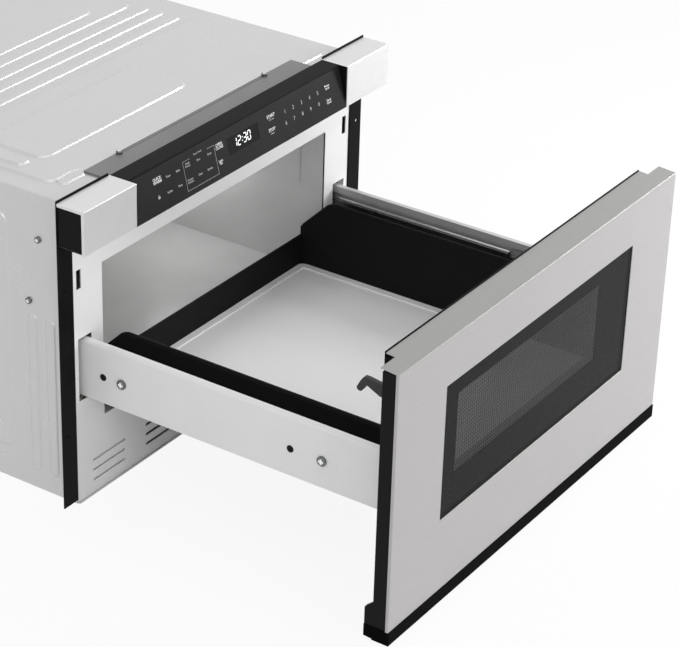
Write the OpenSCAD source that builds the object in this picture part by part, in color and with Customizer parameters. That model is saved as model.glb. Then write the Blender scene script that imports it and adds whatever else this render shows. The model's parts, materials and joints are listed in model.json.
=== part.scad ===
// Microwave drawer: a built-in cabinet with an oven cavity, and a drawer that rolls out of it on
// ball slides, driven by racks and gears. The drawer is drawn fully open.
// X runs to the right seen from the front, Y to the back, Z up. The origin is on the platform that the
// base stands on, on the centre line, in the plane of the kitchen cabinet's face.

/* [Front] */
// How far the door and the end caps reach past the case on each side
front_lap = 25; // [20:0.5:30]
// Height of the end caps' top above the case
front_rise = 11.6; // [8:0.1:14]
// How far the door and the end caps stand out of the cabinet's face
front_out = 40; // [38:1:46]
// Height of the control panel and of the end caps
panel_h = 54; // [48:1:58]
// Width of the control panel between the end caps
panel_w = 420; // [400:2:440]
// Depth of the flat deck on top of the control panel
deck_d = 25; // [20:1:28]
// Thickness of the touch glass
touch_t = 2; // [1.5:0.1:3]
// Width of the display window
display_w = 62; // [50:1:80]
// Height of the display window, measured up the face
display_h = 20.5; // [16:0.5:26]
// Steel turned round the side of an end cap
cap_return = 4; // [2:0.5:8]

/* [Cabinet] */
// Gap between a drawer arm and the case
case_gap = 18; // [16:0.5:24]
// Room for the waveguide, the lamp and the stirrer motor above the oven cavity
over_cavity = 92; // [84:0.5:110]
// Depth of the case behind the cabinet's face
case_d = 555; // [550:1:600]
// Thickness of the case's sheet steel
sheet = 1.2; // [0.8:0.1:1.4]
// How far the pressed fields and beads stand out
emboss = 1; // [0.6:0.1:1.4]
// Width of a pressed bead
bead_w = 13; // [9:1:16]
// Thickness of the mounting flange
flange_t = 1.5; // [1.2:0.1:2]
// Width of the flange's side strip
flange_w = 24; // [22:1:26]
// Radius of the flange's screw holes
flange_hole_r = 2.2; // [1.8:0.1:2.6]

/* [Cavity] */
// Width inside the oven cavity
cavity_w = 450; // [446:1:452]
// Depth inside the oven cavity
cavity_d = 437; // [437:1:445]
// Height of the cavity floor above the base
cavity_z = 97; // [95:0.5:98]
// Height inside the oven cavity
cavity_h = 200; // [194:1:206]
// Thickness of the cavity's sheet steel
liner_t = 0.8; // [0.6:0.1:1.2]

/* [Drawer] */
// Travel of the drawer from shut to fully open
travel = 409; // [380:1:410]
// Height of the door's lower steel edge above the base
door_z = 20; // [16:1:24]
// Gap between the door's top edge and the control panel
door_reveal = 8.1; // [6:0.1:12]
// Width of the door window
window_w = 412; // [380:2:430]
// Height of the door window
window_h = 168; // [150:1:180]
// Height of the window's lower edge above the cavity floor
window_up = 16; // [8:1:24]
// Gap between the tub and each cavity wall
tub_gap = 13; // [10:0.5:20]
// Height of the tub's side walls above the cavity floor
tub_side_h = 111; // [90:1:130]
// Height of the tub's rear wall above the cavity floor
tub_rear_h = 55; // [40:1:80]
// Thickness of the tub's walls
tub_t = 2.5; // [2:0.1:3.5]
// Height of the cooking plate's top above the cavity floor
plate_up = 13; // [12:0.5:18]
// Size of the slanted corner at the rear of a side wall
tub_slant = 45; // [30:1:60]

/* [Arms and slides] */
// Gap between the oven cavity and a slide
slide_gap = 20.3; // [18:0.1:24]
// Height of an arm's lower edge above the cavity floor
arm_low = 41; // [38:0.1:44]
// Height of an arm
arm_h = 74; // [72:0.5:80]
// Thickness of an arm's sheet steel
arm_t = 1.2; // [1:0.1:1.6]
// Width of an arm's top fold
fold_w = 9; // [7:0.5:9.5]
// Length of a slide member
slide_l = 440; // [430:1:442]
// Radius of a slide's balls
ball_r = 1.9; // [1.7:0.05:2]
// Thickness of a slide's rolled steel
race_t = 1.2; // [1:0.1:1.4]
// Share of the drawer's travel that the middle members make
mid_share = 0.64; // [0.55:0.01:0.64]

/* [Drive] */
// Module of the racks and gears: pitch diameter over teeth
gear_m = 1.5; // [1.4:0.1:1.6]
// Teeth on an idler gear
idler_n = 32; // [30:2:34]
// Teeth on a shaft gear
pinion_n = 20; // [18:2:22]
// Width of a gear's teeth
gear_w = 8; // [6:0.5:8]
// Radius of the cross shaft
shaft_r = 4; // [3:0.5:5]
// Distance of the gears' axes behind the cabinet's face
gear_y = 31; // [30:1:36]

/* [Fan and stirrer] */
// Outer radius of the fan
fan_r = 44; // [36:1:46]
// Blades on the fan
fan_n = 7; // [5:1:9]
// Outer radius of the stirrer's blades
stir_r = 78; // [60:1:82]

/* [Hidden] */
$fn = 48;

// One overrun for every cut, and the smallest gaps between pieces
over = 1;
seat_gap = 0.3;
run_gap = 0.2;
slide_t = 12.7;
arms_w = cavity_w + 2 * (liner_t + slide_gap + slide_t + arm_t);
case_w = arms_w + 2 * case_gap;
front_w = case_w + 2 * front_lap;
tub_w = cavity_w - 2 * tub_gap;
half_w = front_w / 2;
case_x = case_w / 2;
panel_x = panel_w / 2;
cavity_top = cavity_z + cavity_h;
case_h = cavity_top + over_cavity;
front_top = case_h + front_rise;
panel_z = front_top - panel_h;
door_top = panel_z - door_reveal;
window_z = cavity_z + window_up;
tub_top = cavity_z + tub_side_h;
tub_rear_top = cavity_z + tub_rear_h;
plate_z = cavity_z + plate_up;
arm_z = cavity_z + arm_low;
arm_top = arm_z + arm_h;
face_lean = atan2(front_out - flange_t - deck_d, panel_h);
face_l = panel_h / cos(face_lean);
drawer_x = cavity_w / 2;

// Shapes that many pieces use
module both_sides() { children(); mirror([1, 0, 0]) children(); }
module open_drawer() translate([0, -travel, 0]) children();
module span(low, high) translate(low) cube(high - low);
module round_rect(w, h, r) {
    square([w - 2 * r, h], center = true);
    square([w, h - 2 * r], center = true);
    for (i = [-1, 1], j = [-1, 1]) translate([i * (w / 2 - r), j * (h / 2 - r)]) circle(r);
}
module slot(l, w) {
    square([l - w, w], center = true);
    for (s = [-1, 1]) translate([s * (l - w) / 2, 0]) circle(w / 2);
}
// A flat outline in X and Z, given its thickness along +Y from the plane y
module upright(y, t) translate([0, y + t, 0]) rotate([90, 0, 0]) linear_extrude(t) children();
// A flat outline in Y and Z, given its thickness along +X from the plane x
module sideways(x, t) translate([x, 0, 0]) rotate([90, 0, 90]) linear_extrude(t) children();
module screw(r, head_r, head_t, l) {
    difference() {
        cylinder(h = head_t, r = head_r);
        translate([0, 0, head_t]) {
            cube([head_r, r / 2, head_t], center = true);
            cube([r / 2, head_r, head_t], center = true);
        }
    }
    translate([0, 0, -l]) cylinder(h = l + head_t / 3, r = r);
}
screw_r = 1.9;
screw_head_r = 4;
screw_head_t = 2.2;
screw_l = 5;

// Base, case and back
pan_rim = 26;
pan_lip = 3;
module base_pan() color("gainsboro") {
    inner = case_x - sheet;
    difference() {
        span([-inner, -pan_lip, 0], [inner, case_d - sheet, pan_rim]);
        span([-inner + sheet, sheet, sheet], [inner - sheet, case_d - 2 * sheet, pan_rim + over]);
        span([-case_x, -pan_lip - over, sheet], [case_x, 0, pan_rim + over]);
        span([-case_x, -over, sheet], [case_x, sheet, pan_rim + over]);
        span([-inner + sheet, -over, sheet], [inner - sheet, 2 * sheet, pan_rim + over]);
        for (i = [-2:2], j = [0:3]) translate([i * pan_slot_step, pan_slot_y + j * bead_w, -over])
            linear_extrude(sheet + 2 * over) slot(pan_slot_l, vent_slot_w);
    }
}
pan_slot_step = 92;
pan_slot_l = 70;
pan_slot_y = 470;

// Fields and beads pressed into the sheet, and pads pressed up again from the fields: two corners each,
// as shares of the case's width and depth on the top, and of its depth and height on the sides
field_r = 18;
front_field_shares = [[-0.45, 0.04], [0.459, 0.398]];
front_pad_shares = [[-0.376, 0.171], [0.119, 0.332]];
left_pad_shares = [[-0.428, 0.189], [-0.394, 0.324]];
rear_field_shares = [[-0.419, 0.566], [0.419, 0.94]];
rear_pad_shares = [[-0.326, 0.605], [0.326, 0.897]];
bead_notch_shares = [[-0.48, 0], [-0.357, 0.094]];
small_bead_shares = [[-0.439, 0.0767], [-0.367, 0.0767]];
bead_row_shares = [0.438, 0.486, 0.53];
bead_reach_share = 0.4245;
side_field_shares = [[0.168, 0.113], [0.942, 0.907]];
side_bead_row_shares = [0.0595, 0.107];
side_bead_end_shares = [0.067, 0.6];
function on_top(shares) = [for (p = shares) [p[0] * case_w, p[1] * case_d]];
function on_side(shares) = [for (p = shares) [p[0] * case_d, p[1] * case_h]];
module field(f, r) translate([(f[0][0] + f[1][0]) / 2, (f[0][1] + f[1][1]) / 2])
    round_rect(f[1][0] - f[0][0], f[1][1] - f[0][1], min(r, (f[1][1] - f[0][1]) / 2 - over / 4));
// A bead with round ends along the line between two points on one level
module bead(ends, w) translate((ends[0] + ends[1]) / 2) slot(norm(ends[1] - ends[0]), w);
module top_pressing() {
    difference() {
        field(on_top(front_field_shares), field_r);
        field(on_top(bead_notch_shares), bead_w);
    }
    field(on_top(rear_field_shares), field_r);
    bead(on_top(small_bead_shares), bead_w);
    for (y = bead_row_shares) bead(on_top([[-bead_reach_share, y], [bead_reach_share, y]]), bead_w);
}
module top_pads() {
    field(on_top(front_pad_shares), field_r);
    field(on_top(left_pad_shares), bead_w / 2);
    field(on_top(rear_pad_shares), field_r);
}
module side_pressing() {
    field(on_side(side_field_shares), field_r);
    for (y = side_bead_row_shares)
        let (ends = on_side([for (z = side_bead_end_shares) [y, z]]))
        translate((ends[0] + ends[1]) / 2) rotate(90) slot(norm(ends[1] - ends[0]), bead_w);
}
side_screw_shares = [[0.0856, 0.8535], [0.1153, 0.6427]];
bracket_w = 408;
bracket_d = 41;
bracket_screw_x = 143;
bracket_screw_y = 38;
module outer_case() color("gainsboro") {
    difference() {
        span([-case_x, 0, 0], [case_x, case_d - sheet, case_h]);
        span([-case_x + sheet, -over, -over], [case_x - sheet, case_d, case_h - sheet]);
        for (s = [-1, 1], p = on_side(side_screw_shares)) translate([s * case_x, p[0], p[1]])
            rotate([0, 90, 0]) cylinder(h = 4 * sheet, r = screw_r + run_gap, center = true);
        for (s = [-1, 1]) translate([s * bracket_screw_x, bracket_screw_y, case_h])
            cylinder(h = 4 * sheet, r = screw_r + run_gap, center = true);
    }
    difference() {
        translate([0, 0, case_h]) union() {
            linear_extrude(emboss) top_pressing();
            linear_extrude(2 * emboss) top_pads();
        }
        span([-bracket_w / 2 - seat_gap, -over, case_h - over],
            [bracket_w / 2 + seat_gap, bracket_d + seat_gap, case_h + sheet + over]);
    }
    both_sides() sideways(case_x, emboss) side_pressing();
}
vent_slot_w = 3.6;
vent_l = 60;
back_vent_step = 9;
inlet_x = -205;
inlet_z = 60;
inlet_r = 11;
fan_x = 120;
fan_z = 200;
module back_panel() color("silver") difference() {
    span([-case_x, case_d - sheet, 0], [case_x, case_d, case_h]);
    for (i = [-4:4]) upright(case_d - 2 * sheet, 4 * sheet)
        translate([fan_x, fan_z + i * back_vent_step])
            slot(2 * sqrt(pow(fan_r, 2) - pow(i * back_vent_step, 2)), vent_slot_w);
    for (i = [-3:3]) upright(case_d - 2 * sheet, 4 * sheet)
        translate([-fan_x, fan_z + i * back_vent_step])
            slot(vent_l, vent_slot_w);
    translate([inlet_x, case_d, inlet_z]) rotate([90, 0, 0])
        cylinder(h = 4 * sheet, r = inlet_r + run_gap, center = true);
}
gland_hole_r = 5;
gland_l = 24;
gland_flange_r = 15;
gland_flange_t = 3;
// Gland in the back panel, with the hole that the supply cord would pass
module cord_inlet() color("black") translate([inlet_x, case_d, inlet_z]) rotate([90, 0, 0]) difference() {
    union() {
        translate([0, 0, -gland_flange_t]) cylinder(h = gland_flange_t, r = gland_flange_r);
        cylinder(h = gland_l, r = inlet_r);
    }
    translate([0, 0, -gland_flange_t - over])
        cylinder(h = gland_l + gland_flange_t + 2 * over, r = gland_hole_r);
}

// Front frame with the oven mouth, the arm openings, the latch slots and the lower vents
mouth_r = 2;
arm_open_in = 1.1;
arm_open_out = 10;
arm_open_gap = 4;
slot_side = 11.6;
slot_w = 8.4;
slot_drop = 17.5;
slot_low = cavity_top - slot_drop;
slot_h = 24.5;
slot_x = [case_x - slot_side - slot_w / 2, case_x - slot_side + slot_w / 2];
slot_z = [slot_low, slot_low + slot_h];
front_vents_x = [case_w * 0.2113, case_w * 0.3912];
front_vent_n = 3;
front_vent_z = 18;
front_vent_step = 13.5;
frame_rim = 12;
module front_frame() color("whitesmoke") difference() {
    union() {
        span([-case_x + sheet, 0, sheet], [case_x - sheet, sheet, case_h - sheet]);
        both_sides() span([case_x - 2 * sheet, sheet, pan_rim + seat_gap],
            [case_x - sheet, frame_rim, case_h - sheet]);
        span([-case_x + 2 * sheet, sheet, case_h - 2 * sheet],
            [case_x - 2 * sheet, frame_rim, case_h - sheet]);
    }
    upright(-over, sheet + 2 * over) {
        translate([0, cavity_z + cavity_h / 2]) round_rect(cavity_w, cavity_h, mouth_r);
        for (s = [-1, 1]) {
            translate([s * (slide_x - arm_open_in + arm_x + arm_open_out) / 2, (arm_z + arm_top) / 2])
                square([arm_x + arm_open_out - slide_x + arm_open_in, arm_top - arm_z + 2 * arm_open_gap],
                center = true);
            translate([s * (slot_x[0] + slot_x[1]) / 2, (slot_z[0] + slot_z[1]) / 2])
                square([slot_x[1] - slot_x[0], slot_z[1] - slot_z[0]], center = true);
        }
        for (s = [-1, 1], x = front_vents_x, i = [0:front_vent_n - 1])
            translate([s * x, front_vent_z + i * front_vent_step]) slot(vent_l, vent_slot_w);
    }
}

// Mounting flange: a strip up each side and a short arm along the top, with a leg on the case
flange_z = 6;
flange_rise = 2.4;
flange_inset = 2;
flange_start = panel_x + flange_inset;
flange_top = front_top + flange_rise;
flange_leg = 16;
flange_hole_z = [100, 289];
flange_hole_in = 10;
flange_hole_x = half_w - flange_hole_in;
module flange() color("black") difference() {
    union() {
        span([half_w - flange_w, -flange_t, flange_z], [half_w, 0, flange_top]);
        span([flange_start, -flange_t, case_h], [half_w, 0, flange_top]);
        span([case_x, -flange_t, flange_z], [case_x + sheet, flange_leg, case_h]);
    }
    for (z = flange_hole_z) translate([flange_hole_x, 0, z]) rotate([90, 0, 0])
        cylinder(h = 4 * flange_t, r = flange_hole_r, center = true);
}
module flange_right() flange();
module flange_left() mirror([1, 0, 0]) flange();
module top_bracket() color("darkgray") difference() {
    span([-bracket_w / 2, -flange_t, case_h], [bracket_w / 2, bracket_d, case_h + sheet]);
    for (s = [-1, 1]) translate([s * bracket_screw_x, bracket_screw_y, case_h])
        cylinder(h = 4 * sheet, r = screw_r + run_gap, center = true);
}
module case_screws() color("silver") {
    for (s = [-1, 1], p = on_side(side_screw_shares)) translate([s * case_x, p[0], p[1]])
        rotate([0, s * 90, 0]) screw(screw_r, screw_head_r, screw_head_t, screw_l);
    for (s = [-1, 1]) translate([s * bracket_screw_x, bracket_screw_y, case_h + sheet])
        screw(screw_r, screw_head_r, screw_head_t, screw_l);
}

// Oven cavity, waveguide, stirrer and magnetron
stir_y = 230;
stir_hole_r = 20;
stir_shaft_r = 4;
lamp_x = 150;
lamp_r = 14;
lamp_h = 24;
lamp_pane_r = 1.6;
liner_flange = 8;
press_step = 14;
module cavity_liner() color("darkgray") difference() {
    union() {
        span([-drawer_x - liner_t, sheet, cavity_z - liner_t],
            [drawer_x + liner_t, cavity_d + liner_t, cavity_top + liner_t]);
        span([-drawer_x - liner_flange, sheet, cavity_z - liner_flange],
            [drawer_x + liner_flange, sheet + liner_t, cavity_top + liner_flange]);
    }
    span([-drawer_x, -over, cavity_z], [drawer_x, cavity_d, cavity_top]);
    translate([0, stir_y, cavity_top - over]) cylinder(h = liner_t + 2 * over, r = stir_hole_r);
    for (i = [-1:1], j = [-1:1]) translate([lamp_x + i * 3 * lamp_pane_r, stir_y + j * 3 * lamp_pane_r,
        cavity_top - over]) cylinder(h = liner_t + 2 * over, r = lamp_pane_r);
}
module oven_lamp() color("ivory") translate([lamp_x, stir_y, cavity_top + liner_t]) {
    cylinder(h = lamp_h, r = lamp_r);
    translate([0, 0, lamp_h]) sphere(lamp_r * 0.7);
}
guide_w = 96;
guide_h = 41;
tube_y = 490;
guide_past = [60, 50];
guide_y = [stir_y - guide_past[0], tube_y + guide_past[1]];
tube_hole_r = 12;
motor_pin_r = 2;
module waveguide() color("silver") difference() {
    base = cavity_top + liner_t;
    span([-guide_w / 2, guide_y[0], base], [guide_w / 2, guide_y[1], base + guide_h]);
    span([-guide_w / 2 + sheet, guide_y[0] + sheet, base + sheet],
        [guide_w / 2 - sheet, guide_y[1] - sheet, base + guide_h - sheet]);
    translate([0, stir_y, base - over]) cylinder(h = 2 * over + sheet, r = stir_hole_r);
    translate([0, tube_y, base - over]) cylinder(h = 2 * over + sheet, r = tube_hole_r);
    translate([0, stir_y, base + guide_h - sheet - over])
        cylinder(h = 2 * over + sheet, r = motor_pin_r + seat_gap);
}
stir_cover_r = 95;
stir_cover_h = 15;
stir_cover_t = 1.6;
module stirrer_cover() color("whitesmoke") translate([0, stir_y, cavity_top - stir_cover_h]) difference() {
    cylinder(h = stir_cover_h, r = stir_cover_r);
    translate([0, 0, stir_cover_t]) cylinder(h = stir_cover_h, r = stir_cover_r - stir_cover_t);
}
stir_motor_r = 24;
stir_motor_h = 14;
stir_pin_l = 22;
module stirrer_motor() color("silver") translate([0, stir_y, cavity_top + liner_t + guide_h]) {
    cylinder(h = stir_motor_h, r = stir_motor_r);
    translate([0, 0, -stir_pin_l]) cylinder(h = stir_pin_l, r = motor_pin_r);
}
stir_blade_t = 1.2;
stir_blade_w = 30;
stir_tip_share = 0.8;
stir_lift = 3;
stir_tilt = 30;
stir_z = cavity_top - stir_cover_h + stir_cover_t + stir_lift;
shaft_fit = 0.05;
// A blade seen from its side: flat for the first length, then bent up for the second
module blade_side(flat, bent) polygon([[0, 0], [flat, 0],
    [flat + bent * cos(stir_tilt), bent * sin(stir_tilt)],
    [flat + bent * cos(stir_tilt) - stir_blade_t * sin(stir_tilt),
    bent * sin(stir_tilt) + stir_blade_t * cos(stir_tilt)],
    [flat - stir_blade_t * tan(stir_tilt / 2), stir_blade_t], [0, stir_blade_t]]);
module mode_stirrer() color("silver") translate([0, stir_y, 0]) difference() {
    union() {
        translate([0, 0, stir_z]) cylinder(h = cavity_top + liner_t + guide_h - sheet - seat_gap - stir_z,
            r = stir_shaft_r);
        for (a = [0:90:270]) rotate([0, 0, a]) upright(-stir_blade_w / 2, stir_blade_w)
            translate([0, stir_z]) blade_side(stir_r * stir_tip_share, stir_r * (1 - stir_tip_share));
    }
    translate([0, 0, cavity_top + liner_t + guide_h - stir_pin_l - seat_gap])
        cylinder(h = stir_pin_l + over, r = motor_pin_r + shaft_fit);
}
tube_w = 86;
tube_h = 78;
tube_can_r = 20;
tube_fin_n = 7;
tube_fin_t = 0.8;
tube_top = cavity_top + liner_t;
module magnetron() color("silver") translate([0, tube_y, tube_top]) {
    difference() {
        span([-tube_w / 2, -tube_w / 2, -tube_h], [tube_w / 2, tube_w / 2, 0]);
        span([-tube_w / 2 + 2 * sheet, -tube_w / 2 - over, -tube_h + 2 * sheet],
            [tube_w / 2 - 2 * sheet, tube_w / 2 + over, -2 * sheet]);
    }
    translate([0, 0, -tube_h]) cylinder(h = tube_h, r = tube_can_r);
    for (i = [1:tube_fin_n]) translate([0, 0, -tube_h + i * tube_h / (tube_fin_n + 1)])
        span([-tube_w / 2 + sheet, -tube_w / 2 + sheet, 0],
            [tube_w / 2 - sheet, tube_w / 2 - sheet, tube_fin_t]);
    translate([0, 0, -over]) cylinder(h = guide_h / 2 + over, r = tube_can_r / 2);
}

// Power parts on the base behind the cavity
core_w = 92;
core_d = 60;
core_h = 76;
core_x = 20;
coil_out = 14;
rear_y = 497;
module hv_transformer() color("dimgray") translate([core_x, rear_y, sheet]) {
    span([-core_w / 2, -core_d / 2, 0], [core_w / 2, core_d / 2, core_h]);
    span([-core_w / 3, -core_d / 2 - coil_out, core_h / 5],
        [core_w / 3, core_d / 2 + coil_out, core_h * 4 / 5]);
}
can_x = -130;
can_w = 54;
can_d = 34;
can_h = 84;
tab_w = 6;
module hv_capacitor() color("silver") translate([can_x, rear_y, sheet]) {
    linear_extrude(can_h) round_rect(can_w, can_d, can_d / 2.05);
    for (s = [-1, 1]) translate([s * can_w / 4, 0, can_h])
        span([-tab_w / 2, -sheet / 2, 0], [tab_w / 2, sheet / 2, 2 * tab_w]);
}
fan_wall = 4;
fan_deep = 27;
fan_tip_gap = 1.5;
fan_front = case_d - sheet - fan_deep;
fan_motor_r = 17;
fan_motor_l = 30;
fan_strut = 5;
fan_pin_r = 2;
fan_clear = 2.5;
module fan_housing() color("black") translate([fan_x, fan_front, fan_z]) rotate([-90, 0, 0]) {
    side = fan_r + fan_tip_gap + fan_wall;
    difference() {
        span([-side, -side, 0], [side, side, fan_deep]);
        translate([0, 0, -over]) cylinder(h = fan_deep + 2 * over, r = fan_r + fan_tip_gap);
    }
    difference() {
        union() {
            for (a = [45:90:315]) rotate([0, 0, a])
                span([0, -fan_strut / 2, -fan_strut], [side, fan_strut / 2, 0]);
            translate([0, 0, -fan_strut]) cylinder(h = fan_strut, r = fan_motor_r);
        }
        translate([0, 0, -fan_strut - over]) cylinder(h = fan_strut + 2 * over, r = fan_pin_r + seat_gap);
    }
}
module fan_motor() color("silver") translate([fan_x, fan_front, fan_z]) rotate([-90, 0, 0]) {
    translate([0, 0, -fan_strut - fan_motor_l]) cylinder(h = fan_motor_l, r = fan_motor_r);
    translate([0, 0, -fan_strut - over]) cylinder(h = fan_strut + fan_deep - fan_clear, r = fan_pin_r);
}
fan_hub_r = 13;
fan_blade_t = 1.6;
fan_pitch = 34;
fan_root_share = 0.8;
module fan_rotor() color("white") translate([fan_x, fan_front, fan_z]) rotate([-90, 0, 0]) difference() {
    union() {
        translate([0, 0, fan_clear]) cylinder(h = fan_deep - 2 * fan_clear, r = fan_hub_r);
        intersection() {
            translate([0, 0, fan_clear]) cylinder(h = fan_deep - 2 * fan_clear, r = fan_r);
            for (i = [0:fan_n - 1]) rotate([0, 0, i * 360 / fan_n])
                translate([fan_hub_r * fan_root_share, 0, fan_deep / 2]) rotate([fan_pitch, 0, 0])
                translate([0, -fan_r / 2, -fan_blade_t / 2]) cube([fan_r, fan_r, fan_blade_t]);
        }
    }
    cylinder(h = fan_deep + over, r = fan_pin_r + shaft_fit);
}

// Control panel and end caps
wall = 2;
module panel_side(in = 0) polygon([[-front_out + in, panel_z + in],
    [-flange_t - deck_d + in, front_top - in], [-flange_t, front_top - in], [-flange_t, panel_z + in]]);
module on_face() translate([0, -front_out, panel_z]) rotate([-face_lean, 0, 0]) children();
display_low_share = 0.37;
window_s = [face_l * display_low_share, face_l * display_low_share + display_h];
window_x = 1.5;
board_y = -10;
board_t = 1.6;
board_w = 300;
board_low_gap = 5;
board_top_gap = 8;
board_z = [panel_z + board_low_gap, front_top - board_top_gap];
board_boss_share = 0.45;
readout_t = 6;
boss_r = 3;
module control_housing() color("black") {
    difference() {
        union() {
            sideways(-panel_x, panel_w) panel_side();
            for (s = [-1, 1]) span([s > 0 ? panel_x : -half_w + sheet, -front_out + sheet, panel_z + sheet],
                [s > 0 ? half_w - sheet : -panel_x, -flange_t, front_top - sheet]);
        }
        sideways(-panel_x + wall, panel_w - 2 * wall) panel_side(touch_t + wall);
        for (s = [-1, 1]) translate([0, -flange_t - wall, panel_z + sheet + wall])
            span([s > 0 ? panel_x + wall : -half_w + sheet + wall,
            -front_out + sheet + 2 * wall + flange_t, 0],
            [s > 0 ? half_w - sheet - wall : -panel_x - wall, wall + over, panel_h - 2 * sheet - 2 * wall]);
        translate([0, -over, 0]) on_face() span([-panel_x - over, -over, -over],
            [panel_x + over, touch_t + over * cos(face_lean), face_l - touch_t]);
    }
    intersection() {
        sideways(-panel_x, panel_w) panel_side(touch_t + wall / 2);
        for (s = [-1, 1], z = [board_z[0] + boss_r, board_z[1] - boss_r])
            translate([s * board_w * board_boss_share, board_y, z])
            rotate([90, 0, 0]) cylinder(h = front_out, r = boss_r);
    }
}
module touch_panel() color("dimgray") difference() {
    on_face() span([-panel_x + seat_gap, 0, seat_gap],
        [panel_x - seat_gap, touch_t, face_l - touch_t - seat_gap]);
    on_face() span([window_x - display_w / 2, -over, window_s[0]],
        [window_x + display_w / 2, touch_t + over, window_s[1]]);
    span([-panel_x, -front_out - over, panel_z - over], [panel_x, 0, panel_z]);
}
module display_window() color("darkslategray") on_face()
    span([window_x - display_w / 2, seat_gap, window_s[0]], [window_x + display_w / 2, touch_t, window_s[1]]);
module control_board() color("darkgreen") {
    span([-board_w / 2, board_y, board_z[0]], [board_w / 2, board_y + board_t, board_z[1]]);
    span([-display_w / 2, board_y - readout_t, panel_z + window_s[0]],
        [display_w / 2, board_y, panel_z + window_s[1] * cos(face_lean)]);
}
module end_cap() color("lightgray") {
    difference() {
        span([panel_x, -front_out, panel_z], [half_w, -flange_t, front_top]);
        span([panel_x - over, -front_out + sheet, panel_z + sheet], [half_w - sheet, over, front_top - sheet]);
        span([half_w - sheet - over, -front_out + cap_return, panel_z - over],
            [half_w + over, over, front_top - cap_return]);
    }
}
module end_cap_right() end_cap();
module end_cap_left() mirror([1, 0, 0]) end_cap();

// Ball slides: profiles in the slide's depth and height, rolled races round each row of balls
race_r = ball_r + run_gap;
race_out = race_r + race_t;
slide_x = arms_w / 2 - arm_t - slide_t;
slide_lift = 2;
slide_z = (arm_z + arm_top) / 2 + slide_lift;
lip_flat_share = 0.97;
slide_y = 3;
outer_u = slide_t / 2;
inner_u = 7.6;
outer_v = 19.2;
inner_v = outer_v - 2 * race_r - race_t;
middle_u = 2.2;
lip_share = 0.3;
race_low = race_r * lip_share;
module race(u, v, side) intersection() {
    difference() {
        translate([u, v]) circle(race_out);
        translate([u, v]) circle(race_r);
    }
    translate([u - race_out, side > 0 ? v + race_low : v - race_low - race_out])
        square([2 * race_out, race_out]);
}
module mirrored_v() { children(); mirror([0, 1]) children(); }
module cabinet_member() {
    square_v = outer_v + race_low + race_t;
    translate([0, -square_v]) square([race_t, 2 * square_v]);
    mirrored_v() {
        race(outer_u, outer_v, 1);
        translate([0, outer_v + race_low]) square([outer_u - race_r * lip_flat_share, race_t]);
    }
}
module middle_member() {
    translate([middle_u, -outer_v + race_r]) square([race_t, 2 * (outer_v - race_r)]);
    mirrored_v() {
        race(outer_u, outer_v, -1);
        race(inner_u, inner_v, 1);
        translate([middle_u, outer_v - race_out]) square([outer_u - middle_u, race_t]);
    }
}
module drawer_member() {
    translate([slide_t - race_t, -inner_v + race_r]) square([race_t, 2 * (inner_v - race_r)]);
    mirrored_v() {
        race(inner_u, inner_v, -1);
        translate([inner_u, inner_v - race_out]) square([slide_t - inner_u, race_t]);
    }
}
module along_slide(y, l) translate([slide_x, y + l, slide_z]) rotate([90, 0, 0]) linear_extrude(l) children();
module slide_cabinet_right() color("silver") along_slide(slide_y, slide_l) cabinet_member();
module slide_cabinet_left() mirror([1, 0, 0]) slide_cabinet_right();
module slide_middle_right() color("silver") along_slide(slide_y - mid_share * travel, slide_l) middle_member();
module slide_middle_left() mirror([1, 0, 0]) slide_middle_right();
module slide_drawer_members() color("silver") both_sides()
    along_slide(slide_y - travel, slide_l) drawer_member();
cage_t = 0.4;
ball_n = 9;
module cage(u, v, web_u, y, l) {
    along_slide(y, l) {
        translate([web_u, -v - cage_t / 2]) square([cage_t, 2 * v + cage_t]);
        mirrored_v() translate([web_u, v - cage_t / 2]) square([u + ball_r - web_u, cage_t]);
    }
    for (i = [0:ball_n - 1], s = [-1, 1])
        translate([slide_x + u, y + l * (i + 0.5) / ball_n, slide_z + s * v]) sphere(ball_r);
}
outer_cage_l = 160;
outer_cage_in = 137;
outer_cage_y = slide_y + outer_cage_in;
inner_cage_l = 260;
inner_cage_in = 82;
inner_cage_y = slide_y + inner_cage_in;
outer_share = mid_share / 2;
inner_share = (mid_share + 1) / 2;
module outer_ball_cages() color("gold") both_sides()
    cage(outer_u, outer_v, race_t + (middle_u - race_t - cage_t) / 2,
    outer_cage_y - outer_share * travel, outer_cage_l);
module inner_ball_cages() color("gold") both_sides()
    cage(inner_u, inner_v, middle_u + race_t + seat_gap,
    inner_cage_y - inner_share * travel, inner_cage_l);
standoff_shares = [0.107, 0.839];
standoff_l = 34;
standoff_h = 32;
module slide_brackets() color("silver") both_sides()
    for (share = standoff_shares) let (y = slide_y + slide_l * share) difference() {
    span([drawer_x + liner_t, y, slide_z - standoff_h / 2],
        [slide_x, y + standoff_l, slide_z + standoff_h / 2]);
    span([drawer_x + liner_t + 1.5 * sheet, y - over, slide_z - standoff_h / 2 + 1.5 * sheet],
        [slide_x - 1.5 * sheet, y + standoff_l + over, slide_z + standoff_h / 2 - 1.5 * sheet]);
}

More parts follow.
